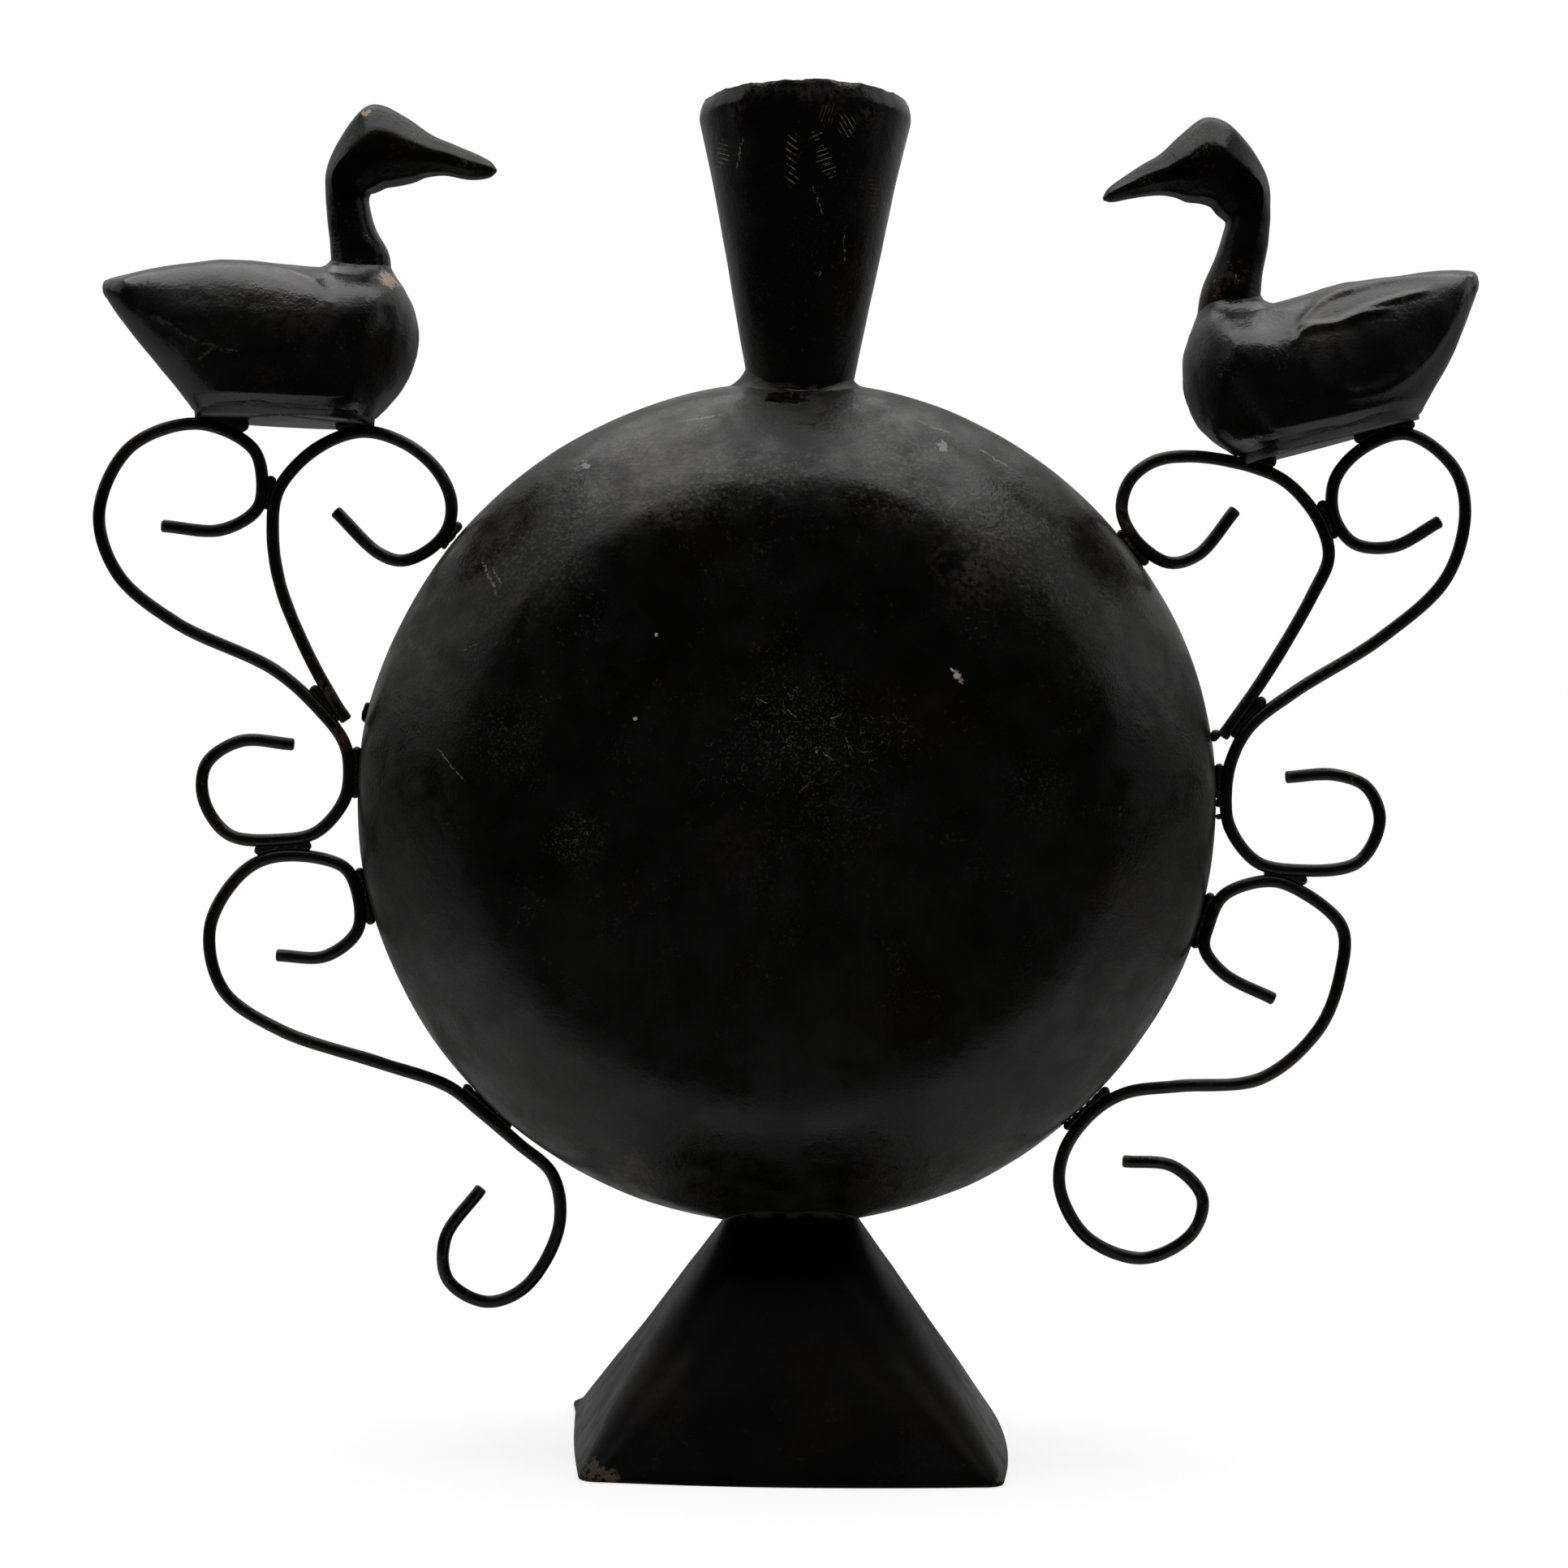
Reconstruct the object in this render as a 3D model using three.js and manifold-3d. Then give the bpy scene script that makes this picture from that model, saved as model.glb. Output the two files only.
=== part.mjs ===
// A free-standing flower vase of black-painted sheet steel and bent steel rod, welded together.
// A flattened round body stands on a four-sided foot and carries a flared neck. Three scrolls of rod are
// welded to each side of it, and a hollow duck stands on the upper two scrolls of each side.
//
// Millimetres and degrees, +Z up. +X is to the right of someone who looks at the front, which faces -Y.
// The origin is on the floor, under the middle of the round body.

import * as THREE from "three";
import { mergeVertices } from "three/addons/utils/BufferGeometryUtils.js";
import Module from "manifold-3d";

const wasm = await Module();
wasm.setup();

// Sheet, rod, welds and clearances
const GAP = 0.3; // clearance between neighbouring pieces
const SHEET = 1.2; // sheet of the body, the neck and the foot
const ROD_DIAMETER = 3;
const ROD_SPACING = 0.9; // room for weld metal between a rod and what it is welded to
const WELD_BEAD = 1.4; // how far a weld reaches out from each face that it joins
const WELD_LENGTH = 15; // longest run of a weld along a rod

// Round body: two dished shells that meet at the rim
const BODY_WIDTH = 218.6;
const BODY_HEIGHT = 214.4;
const BODY_DEPTH = 84;
const SHOULDER_RADIUS = 34; // rounding between each face and the rim

// Neck: an open cone on top of the body
const NECK_HEIGHT = 71.5; // top of the body to the mouth
const NECK_BASE_DIAMETER = 27.6; // at the top of the body
const NECK_MOUTH_DIAMETER = 53.4;
const NECK_OFFSET = 2; // to the right of the body's middle

// Foot: a hollow four-sided pyramid under the body, with its lower edge turned inwards
const FOOT_HEIGHT = 56.4; // floor to the underside of the body
const FOOT_TOP_WIDTH = 35; // at the underside of the body
const FOOT_TOP_DEPTH = 34;
const FOOT_OFFSET = 2.5; // to the right of the body's middle
const FOOT_FRONT_LEFT = [-49, -53]; // corners on the floor, as X and Y
const FOOT_FRONT_RIGHT = [54.5, -54];
const FOOT_BACK_RIGHT = [56.5, 52];
const FOOT_BACK_LEFT = [-54.5, 52];
const FOOT_RIDGE = 7; // length of side that each rounded ridge takes up
const FOOT_BULGE = 1.5; // how far each side bows out at the floor
const FOOT_HEM = 7; // width of the turned-in edge that the vase stands on

// Ducks: hollow halves on a flat plate, in a frame of their own that starts at the rear end of the plate,
// with x towards the bill and z up
const DUCK_SHEET = 1;
const DUCK_BOXINESS = 2.3; // 2 is an elliptical section, and more is squarer
const DUCK_SOLID_HALF = 4; // the tail and the breast are solid where half their width is less than this

// Sections of a duck's body from tail to breast: x, underside, back and half the width
const DUCK_SECTIONS = [
  [-25.2, 30.9, 32.4, 0.8],
  [-22, 26.8, 35.4, 4.5],
  [-14, 17, 38, 10],
  [-4, 5.2, 40.2, 15],
  [4, -4.6, 41, 18],
  [12, -10, 41.4, 20],
  [22, -10, 40.4, 21.5],
  [31, -10, 39.4, 21.5],
  [38.5, -8, 39.4, 20.2],
  [43.5, 1, 39.2, 17.8],
  [48, 5.6, 38, 14],
  [52, 10.8, 33.6, 9.5],
  [54.4, 16.4, 28.6, 5],
  [55.2, 20, 25, 1.2],
];

// Ribs of a duck's neck and head from the root to the bill: x and z of the throat side, x and z of the
// crown side, and half the width
const DUCK_RIBS = [
  [48, 35, 32.6, 35, 8],
  [46.7, 43.3, 31.7, 44, 7],
  [43.2, 49.5, 30.9, 49.5, 6.2],
  [41.2, 55.6, 29.9, 57, 5.8],
  [41.6, 58.9, 29.7, 63.5, 6.3],
  [42.3, 60.1, 31, 69.2, 7.2],
  [43.5, 60.7, 34.6, 76.2, 8],
  [45.4, 61.1, 39, 81.8, 8.2],
  [48, 61.7, 44, 81.8, 8],
  [52.1, 62.8, 50.5, 78.4, 7],
  [55.5, 64.4, 56.4, 74.9, 5.4],
  [60, 65.1, 61.5, 73.1, 4.2],
  [66.5, 64.3, 67.5, 71, 3.6],
  [71.2, 65.1, 71.4, 69.2, 2.6],
  [73, 66, 73.2, 66.9, 0.8],
];
const NECK_ROOT_LEVEL = 34; // where a duck's neck starts to lean
const NECK_HEAD_LEVEL = 64; // where the lean is complete
const LEFT_HEAD_SHIFT = [0, 0]; // how far the head lies forward and up from the ribs above
const RIGHT_HEAD_SHIFT = [-8.5, 5.4];
const LEFT_BACK_DROP = 0; // how far the back and the tail lie below the sections above
const RIGHT_BACK_DROP = 2;
const LEFT_REAR_INSET = 0; // from the rear end of the plate to the rod under it
const RIGHT_REAR_INSET = 2.6;

// Fineness of the curved faces
const BODY_SIDES = 48;
const FACE_STEPS = 4;
const SHOULDER_STEPS = 6;
const NECK_SIDES = 32;
const FOOT_CURVE_STEPS = 3;
const DUCK_SIDES = 18;
const NECK_RIB_SIDES = 12;
const ROD_SIDES = 8;
const ROD_STEP = 6.5; // length of one straight facet along a rod
const ROD_SAMPLES = 400; // places along a rod where its distance to a duck is measured
const SETTLING_STEPS = 20; // rounds in which a duck is settled on its two rods
const WELD_SIDES = 12;
const WELD_RINGS = 8;
const MERGE_DISTANCE = 1e-4;
const OVERSHOOT = 5; // how far a cutting shape runs past the face that it cuts

// Levels and half sizes that follow from the dimensions above, measured from the middle of the body
const BODY_TOP = BODY_HEIGHT / 2;
const BODY_UNDERSIDE = -BODY_HEIGHT / 2;
const FLOOR = BODY_UNDERSIDE - FOOT_HEIGHT;
const ROD_RADIUS = ROD_DIAMETER / 2;

// Painted finishes
const METALNESS = 0.3;
const paint = (color, roughness) =>
  new THREE.MeshStandardMaterial({ color, roughness, metalness: METALNESS });
const BODY_PAINT = paint(0x1c1c1d, 0.5);
const NECK_PAINT = paint(0x191713, 0.55);
const FOOT_PAINT = paint(0x1a1917, 0.55);
const ROD_PAINT = paint(0x15120f, 0.6);
const WELD_PAINT = paint(0x2a1f18, 0.75);
const DUCK_PAINT = paint(0x1f1e1f, 0.45);

// Solids, cuts and lofts

// A closed geometry as a solid, turned right side out where its faces point inwards.
function solidOf(geometry) {
  const bare = new THREE.BufferGeometry();
  bare.setAttribute("position", geometry.getAttribute("position").clone());
  if (geometry.index) bare.setIndex(geometry.index.clone());
  const merged = mergeVertices(bare, MERGE_DISTANCE);
  const triangles = [];
  for (let i = 0; i < merged.index.count; i += 3) {
    const [a, b, c] = merged.index.array.slice(i, i + 3);
    if (a !== b && b !== c && c !== a) triangles.push([a, b, c]);
  }
  const vertProperties = merged.getAttribute("position").array;
  const make = (corners) =>
    new wasm.Manifold(new wasm.Mesh({ numProp: 3, vertProperties, triVerts: new Uint32Array(corners) }));
  const solid = make(triangles.flat());
  return solid.volume() > 0 ? solid : make(triangles.map(([a, b, c]) => [a, c, b]).flat());
}

function geometryOf(solid) {
  const { vertProperties, triVerts } = solid.getMesh();
  const geometry = new THREE.BufferGeometry();
  geometry.setAttribute("position", new THREE.BufferAttribute(vertProperties, 3));
  geometry.setIndex(new THREE.BufferAttribute(triVerts, 1));
  return geometry;
}

function meshOf(name, solid, material) {
  const geometry = geometryOf(solid);
  geometry.computeVertexNormals();
  const mesh = new THREE.Mesh(geometry, material);
  mesh.name = name;
  return mesh;
}

// A closed solid through rings that have equally many points, with both end rings filled in.
function loft(rings) {
  const count = rings[0].length;
  const positions = rings.flat().flatMap((point) => point.toArray());
  const index = [];
  for (let ring = 0; ring < rings.length - 1; ring += 1) {
    for (let i = 0; i < count; i += 1) {
      const a = ring * count + i;
      const b = ring * count + ((i + 1) % count);
      index.push(a, b, a + count, b, b + count, a + count);
    }
  }
  const last = (rings.length - 1) * count;
  for (let i = 1; i < count - 1; i += 1) {
    index.push(0, i + 1, i, last, last + i, last + i + 1);
  }
  const geometry = new THREE.BufferGeometry();
  geometry.setAttribute("position", new THREE.Float32BufferAttribute(positions, 3));
  geometry.setIndex(index);
  return solidOf(geometry);
}

function box(low, high) {
  const size = high.map((value, axis) => value - low[axis]);
  const middle = high.map((value, axis) => (value + low[axis]) / 2);
  return new THREE.BoxGeometry(...size).translate(...middle);
}

// The weld in the corner between two pieces. Each piece is given as its outline grown by the clearance and
// by the bead, and the weld fills what lies within the bead of both.
function weldBetween(a, b) {
  return a.bead.intersect(b.bead).subtract(a.clear).subtract(b.clear);
}

const grownBothWays = (make) => ({ clear: make(GAP), bead: make(WELD_BEAD) });

// Round body

// Half of the body's outline, grown outwards: radius and depth from the middle of the front to the rim.
function dishOutline(grow, seam) {
  const rim = BODY_WIDTH / 2 + grow;
  const face = BODY_DEPTH / 2 + grow;
  const shoulder = SHOULDER_RADIUS + grow;
  const inset = rim - shoulder;
  const dome = (inset ** 2 + face ** 2 - shoulder ** 2) / (2 * (face - shoulder));
  const domeCentre = dome - face;
  const tangent = Math.atan2(inset, domeCentre);
  const end = Math.acos(seam / shoulder);
  const points = [];
  for (let i = 0; i < FACE_STEPS; i += 1) {
    const angle = (tangent * i) / FACE_STEPS;
    points.push(new THREE.Vector2(dome * Math.sin(angle), domeCentre - dome * Math.cos(angle)));
  }
  for (let i = 0; i <= SHOULDER_STEPS; i += 1) {
    const angle = tangent + ((end - tangent) * i) / SHOULDER_STEPS;
    points.push(new THREE.Vector2(inset + shoulder * Math.sin(angle), -shoulder * Math.cos(angle)));
  }
  points[0].x = 0;
  return points;
}

// Turns an outline round the body's middle and draws the circle into the body's oval.
function turned(outline, grow) {
  const oval = (BODY_HEIGHT + 2 * grow) / (BODY_WIDTH + 2 * grow);
  return new THREE.LatheGeometry(outline, BODY_SIDES).scale(1, 1, oval);
}

// The whole body without its hollow, grown outwards.
function bodySolid(grow) {
  const front = dishOutline(grow, 0);
  const back = front.slice(0, -1).map((point) => new THREE.Vector2(point.x, -point.y));
  return solidOf(turned([...front, ...back.reverse()], grow));
}

function shellGeometry() {
  const outside = dishOutline(0, GAP / 2);
  const inside = dishOutline(-SHEET, GAP / 2);
  return turned([...outside, ...inside.reverse()], 0);
}

const body = grownBothWays(bodySolid);

// Neck

// A cone that continues the neck's outside, grown sideways, down into the body and up past the mouth.
function neckCone(grow, above) {
  const slope = (NECK_MOUTH_DIAMETER - NECK_BASE_DIAMETER) / 2 / NECK_HEIGHT;
  const low = -SHOULDER_RADIUS / 2;
  const high = NECK_HEIGHT + above;
  const radiusAt = (level) => NECK_BASE_DIAMETER / 2 + slope * level + grow;
  const outline = [
    new THREE.Vector2(0, low),
    new THREE.Vector2(radiusAt(low), low),
    new THREE.Vector2(radiusAt(high), high),
    new THREE.Vector2(0, high),
  ];
  const cone = new THREE.LatheGeometry(outline, NECK_SIDES).rotateX(Math.PI / 2);
  return solidOf(cone.translate(NECK_OFFSET, 0, BODY_TOP));
}

const neckBore = neckCone(-SHEET, OVERSHOOT);
const neck = neckCone(0, 0).subtract(neckBore).subtract(body.clear);
const neckSurface = grownBothWays((grow) => neckCone(grow, 0));

const frontShell = solidOf(shellGeometry()).subtract(neckBore);
const rearShell = solidOf(shellGeometry().scale(1, -1, 1)).subtract(neckBore);

// Foot

const footTopCorner = (x, y) => [FOOT_OFFSET + (x * FOOT_TOP_WIDTH) / 2, (y * FOOT_TOP_DEPTH) / 2];
const FOOT_CORNERS = [
  { base: FOOT_FRONT_LEFT, top: footTopCorner(-1, -1), outwards: [-1, -1] },
  { base: FOOT_FRONT_RIGHT, top: footTopCorner(1, -1), outwards: [1, -1] },
  { base: FOOT_BACK_RIGHT, top: footTopCorner(1, 1), outwards: [1, 1] },
  { base: FOOT_BACK_LEFT, top: footTopCorner(-1, 1), outwards: [-1, 1] },
];

// A level cut through the foot's outside: 0 is the floor and 1 the underside of the body.
function footRing(share, grow) {
  const corners = FOOT_CORNERS.map(({ base, top, outwards }) => {
    const x = THREE.MathUtils.lerp(base[0], top[0], share) + outwards[0] * grow;
    const y = THREE.MathUtils.lerp(base[1], top[1], share) + outwards[1] * grow;
    return new THREE.Vector2(x, y);
  });
  const bulge = FOOT_BULGE * (1 - share);
  const level = FLOOR + share * FOOT_HEIGHT;
  const outline = new THREE.Path();
  corners.forEach((corner, i) => {
    const before = corners.at(i - 1);
    const after = corners[(i + 1) % corners.length];
    const along = after.clone().sub(corner).normalize();
    const arrival = corner.clone().add(before.clone().sub(corner).setLength(FOOT_RIDGE));
    const departure = corner.clone().addScaledVector(along, FOOT_RIDGE);
    const nextArrival = after.clone().addScaledVector(along, -FOOT_RIDGE);
    const outwards = new THREE.Vector2(along.y, -along.x).multiplyScalar(2 * bulge);
    const bow = departure.clone().lerp(nextArrival, 0.5).add(outwards);
    if (i === 0) outline.moveTo(arrival.x, arrival.y);
    outline.quadraticCurveTo(corner.x, corner.y, departure.x, departure.y);
    outline.quadraticCurveTo(bow.x, bow.y, nextArrival.x, nextArrival.y);
  });
  const points = outline.getPoints(FOOT_CURVE_STEPS).slice(0, -1);
  return points.map((point) => new THREE.Vector3(point.x, point.y, level));
}

const footShare = (height) => height / FOOT_HEIGHT;
const footSolid = (from, to, grow) => loft([footRing(footShare(from), grow), footRing(footShare(to), grow)]);

// The sides lean, so a wall of one sheet is wider than the sheet when it is measured level.
const footRun = (FOOT_FRONT_RIGHT[0] - FOOT_FRONT_LEFT[0] - FOOT_TOP_WIDTH) / 2;
const FOOT_WALL = SHEET * Math.hypot(1, footRun / FOOT_HEIGHT);
const FOOT_REACH = FOOT_HEIGHT + OVERSHOOT; // the top is cut to the body's underside

const foot = footSolid(0, FOOT_REACH, 0)
  .subtract(footSolid(SHEET, FOOT_REACH + OVERSHOOT, -FOOT_WALL))
  .subtract(footSolid(-OVERSHOOT, SHEET + OVERSHOOT, -FOOT_HEM))
  .subtract(body.clear);
const footSurface = grownBothWays((grow) => footSolid(0, FOOT_REACH, grow));

// Scrolls

// A place beside the body: its bearing seen from the front, anticlockwise from the right, and how far it
// lies outside the rim.
function at(bearing, reach) {
  const angle = THREE.MathUtils.degToRad(bearing);
  const across = Math.cos(angle) / (BODY_WIDTH / 2);
  const up = Math.sin(angle) / (BODY_HEIGHT / 2);
  const distance = 1 / Math.hypot(across, up) + reach;
  return new THREE.Vector3(distance * Math.cos(angle), 0, distance * Math.sin(angle));
}

// The middle of a rod that is welded to the rim.
const onRim = (bearing) => at(bearing, ROD_SPACING + ROD_RADIUS);

// Two rods that are welded side by side: the middle of the join, and the direction from the first to the
// second.
function join(bearing, reach, direction) {
  const angle = THREE.MathUtils.degToRad(direction);
  const step = new THREE.Vector3(Math.cos(angle), 0, Math.sin(angle)).multiplyScalar(
    ROD_RADIUS + ROD_SPACING / 2,
  );
  const middle = at(bearing, reach);
  return { middle, first: middle.clone().sub(step), second: middle.clone().add(step) };
}

const LEFT_HEART = join(149.5, 45, -5); // upper scroll beside inner scroll
const LEFT_FORK = join(169, 10, 33); // upper scroll beside the end of the inner scroll
const LEFT_MEETING = join(185.8, 20.1, -85); // upper scroll on lower scroll
const RIGHT_HEART = join(28.6, 46.3, 195);
const RIGHT_FORK = join(10.8, 8, 142);
const RIGHT_MEETING = join(352.2, 20.5, 257);

// Rods that a duck stands on, and the bearings where a rod is welded to the rim
const LEFT_REAR_STAND = at(148, 69.7);
const LEFT_FRONT_STAND = at(139.6, 35.1);
const RIGHT_REAR_STAND = at(31.4, 74.8);
const RIGHT_FRONT_STAND = at(36.4, 37.6);
const LEFT_INNER_RIM = 141.8;
const LEFT_UPPER_RIM = 176.2;
const LEFT_LOWER_RIM = 193;
const LEFT_LOW_RIM = 226;
const LEFT_LOW_RIM_END = 232.5;
const LEFT_BROKEN_RIM = 168.8;
const RIGHT_INNER_RIM = 37.8;
const RIGHT_INNER_END_RIM = 9.4;
const RIGHT_UPPER_RIM = 2.8;
const RIGHT_LOWER_RIM = 344.4;
const RIGHT_LOW_RIM = 315.5;

// Each scroll's middle line, from its upper free end to its other end
const SCROLLS = {
  left_upper: [
    at(156.8, 64.7), at(155, 51), at(151.9, 45.4), LEFT_HEART.first, at(147.4, 54.5), LEFT_REAR_STAND,
    at(152.3, 81.8), at(157.8, 81.6), at(161.6, 70.9), at(164.1, 52.8), at(166.2, 25.5), LEFT_FORK.first,
    at(172.9, 4.6), onRim(LEFT_UPPER_RIM), at(180.3, 4), at(183.9, 11.4), LEFT_MEETING.first, at(184, 32.9),
    at(180.4, 39.7), at(176.9, 39.3), at(174.3, 30.7), at(174, 17.4),
  ],
  left_inner: [
    at(148.2, 28), at(149.9, 13), at(148.9, 6.4), at(145.3, 2.8), onRim(LEFT_INNER_RIM), at(138.8, 6.5),
    at(137.2, 14.5), at(137.5, 25.2), LEFT_FRONT_STAND, at(143.9, 41.4), LEFT_HEART.second, at(152.9, 39.5),
    at(157.4, 31.9), at(163, 19.5), LEFT_FORK.second, at(170, 5),
  ],
  left_lower: [
    at(197.4, 26.2), at(198.8, 15), at(197, 5.6), onRim(LEFT_LOWER_RIM), at(189, 4.7), LEFT_MEETING.second,
    at(187.6, 30.4), at(192.7, 41.3), at(199, 42.2), at(204.9, 32.9), at(213.5, 14.5), at(220.6, 4.1),
    onRim(LEFT_LOW_RIM), onRim(LEFT_LOW_RIM_END), at(238.4, 4.6), at(242.4, 14.8), at(242.3, 32.4),
    at(239.7, 41.4), at(235.2, 42.2), at(231.9, 34), at(232.2, 18.4),
  ],
  right_upper: [
    at(23.8, 71.3), at(23.4, 58.4), at(25.3, 49.6), RIGHT_HEART.first, at(31.2, 53), at(32.5, 62.8),
    RIGHT_REAR_STAND, at(27.4, 81.8), at(23.9, 79.4), at(19.5, 68), at(16.2, 47.7), at(13.4, 22.4),
    RIGHT_FORK.first, at(6.4, 4.5), onRim(RIGHT_UPPER_RIM), at(357.7, 3.9), at(353.8, 11.7),
    RIGHT_MEETING.first, at(354.7, 36.6), at(358.9, 42.1), at(2.4, 38.6), at(3.8, 30.2), at(3.6, 18.6),
  ],
  right_inner: [
    at(33.8, 27.3), at(31.8, 13.2), at(32.9, 5.9), onRim(RIGHT_INNER_RIM), at(41.8, 4.6), at(43.9, 11.2),
    at(43.6, 19.2), at(41.2, 27.8), RIGHT_FRONT_STAND, at(33.3, 42.3), RIGHT_HEART.second, at(25.2, 42.5),
    at(22.2, 34.5), at(16.2, 17.6), RIGHT_FORK.second, at(RIGHT_INNER_END_RIM, ROD_RADIUS + WELD_BEAD),
  ],
  right_lower: [
    at(338.9, 24.5), at(339.6, 10.7), at(341.5, 3.9), onRim(RIGHT_LOWER_RIM), at(348.6, 4.6),
    at(351.3, 13.5), RIGHT_MEETING.second, at(348.1, 35.3), at(343.6, 39.2), at(337.8, 38.6), at(330.9, 29.5),
    at(325.1, 13.6), at(320.1, 5.1), onRim(RIGHT_LOW_RIM), at(309.4, 5), at(306.1, 12.9), at(305.8, 27.2),
    at(308.9, 39.2), at(313.8, 42.6), at(317.1, 37.5), at(317.6, 26.4), at(314.2, 17),
  ],
};

const scrollCurve = (points) => new THREE.CatmullRomCurve3(points, false, "centripetal");

// A round rod along a scroll's middle line, grown outwards and at both ends.
function rodSolid(points, grow) {
  const longer = (end, next) => end.clone().add(end.clone().sub(next).setLength(grow));
  const middle = points.slice(1, -1);
  const curve = scrollCurve([longer(points[0], points[1]), ...middle, longer(points.at(-1), points.at(-2))]);
  const radius = ROD_RADIUS + grow;
  const section = new THREE.Shape();
  for (let i = 0; i < ROD_SIDES; i += 1) {
    const angle = (2 * Math.PI * (i + 0.5)) / ROD_SIDES;
    const [x, y] = [radius * Math.cos(angle), radius * Math.sin(angle)];
    if (i === 0) section.moveTo(x, y);
    else section.lineTo(x, y);
  }
  const steps = Math.ceil(curve.getLength() / ROD_STEP);
  return solidOf(new THREE.ExtrudeGeometry(section, { steps, bevelEnabled: false, extrudePath: curve }));
}

const rods = {};
for (const [name, points] of Object.entries(SCROLLS)) {
  rods[name] = grownBothWays((grow) => rodSolid(points, grow));
}

// Ducks

// A squarish oval section across a duck, grown outwards.
function duckRing([x, low, high, half], grow) {
  const middle = (low + high) / 2;
  const ring = [];
  for (let i = 0; i < DUCK_SIDES; i += 1) {
    const angle = (2 * Math.PI * i) / DUCK_SIDES;
    const rounded = (value) => Math.sign(value) * Math.abs(value) ** (2 / DUCK_BOXINESS);
    const y = (half + grow) * rounded(Math.cos(angle));
    const z = middle + ((high - low) / 2 + grow) * rounded(Math.sin(angle));
    ring.push(new THREE.Vector3(x, y, z));
  }
  return ring;
}

// The sections of a duck whose back and tail lie lower by a drop.
function droppedSections(drop) {
  const tailUnderside = DUCK_SECTIONS[0][1];
  return DUCK_SECTIONS.map(([x, low, high, half]) => {
    const share = Math.max(0, low) / tailUnderside;
    return [x, low - drop * share, high - drop, half];
  });
}

// The outside of a duck's body before it is cut flat underneath.
function duckBody(sections, grow) {
  const last = sections.length - 1;
  return loft(sections.map(([x, ...rest], i) => {
    const longer = i === 0 ? -grow : i === last ? grow : 0;
    return duckRing([x + longer, ...rest], grow);
  }));
}

// The hollow stops short of the tail and the breast, where the section is too small for it.
function duckHollow(sections) {
  const roomy = sections.filter(([, , , half]) => half > DUCK_SOLID_HALF);
  return loft(roomy.map((section) => duckRing(section, -DUCK_SHEET)));
}

// An oval rib across a duck's neck or head, grown outwards and moved with the head.
function neckRing([throatX, throatZ, crownX, crownZ, half], grow, headShift) {
  const throat = new THREE.Vector3(throatX, 0, throatZ);
  const crown = new THREE.Vector3(crownX, 0, crownZ);
  const middle = throat.clone().lerp(crown, 0.5);
  const lean = THREE.MathUtils.clamp(
    (middle.z - NECK_ROOT_LEVEL) / (NECK_HEAD_LEVEL - NECK_ROOT_LEVEL), 0, 1,
  );
  const span = crown.clone().sub(middle);
  span.setLength(span.length() + grow);
  middle.x += lean * headShift[0];
  middle.z += lean * headShift[1];
  const ring = [];
  for (let i = 0; i < NECK_RIB_SIDES; i += 1) {
    const angle = (2 * Math.PI * i) / NECK_RIB_SIDES;
    const point = middle.clone().addScaledVector(span, Math.cos(angle));
    point.y = (half + grow) * Math.sin(angle);
    ring.push(point);
  }
  return ring;
}

const duckNeck = (grow, headShift) => loft(DUCK_RIBS.map((rib) => neckRing(rib, grow, headShift)));

// A box round a whole duck, cut off below and above the given levels.
function duckSlice(sections, low, high) {
  const far = sections.at(-1)[0] + NECK_HEAD_LEVEL;
  return solidOf(box([-far, -far, low], [far, far, high]));
}

// The pieces of one duck, in the duck's own frame.
function duckPieces({ side, sections, headShift }) {
  const far = sections.at(-1)[0] + NECK_HEAD_LEVEL;
  const outside = duckBody(sections, 0);
  const surface = grownBothWays((grow) => duckBody(sections, grow));
  const plate = outside.intersect(duckSlice(sections, 0, DUCK_SHEET));
  const wall = outside
    .subtract(duckHollow(sections))
    .intersect(duckSlice(sections, DUCK_SHEET + GAP, far));
  const frontHalf = wall.intersect(solidOf(box([-far, -far, -far], [far, -GAP / 2, far])));
  const rearHalf = wall.intersect(solidOf(box([-far, GAP / 2, -far], [far, far, far])));
  const neckHead = duckNeck(0, headShift).subtract(surface.clear);
  const neckBead = grownBothWays((grow) => duckNeck(grow, headShift));
  const neckWeld = weldBetween(neckBead, surface).intersect(duckSlice(sections, 0, far));
  return [
    meshOf(`${side}_duck_front_shell`, frontHalf, DUCK_PAINT),
    meshOf(`${side}_duck_rear_shell`, rearHalf, DUCK_PAINT),
    meshOf(`${side}_duck_base_plate`, plate, DUCK_PAINT),
    meshOf(`${side}_duck_neck_and_head`, neckHead, DUCK_PAINT),
    meshOf(`${side}_duck_neck_weld`, neckWeld, WELD_PAINT),
  ];
}

// How high a duck's underside lies above its plate's level, at a distance from the rear end of the plate.
function duckUnderside(sections, x) {
  const next = sections.findIndex((section) => section[0] > x);
  const [before, after] = [sections[next - 1], sections[next]];
  const share = (x - before[0]) / (after[0] - before[0]);
  return Math.max(0, THREE.MathUtils.lerp(before[1], after[1], share));
}

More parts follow.
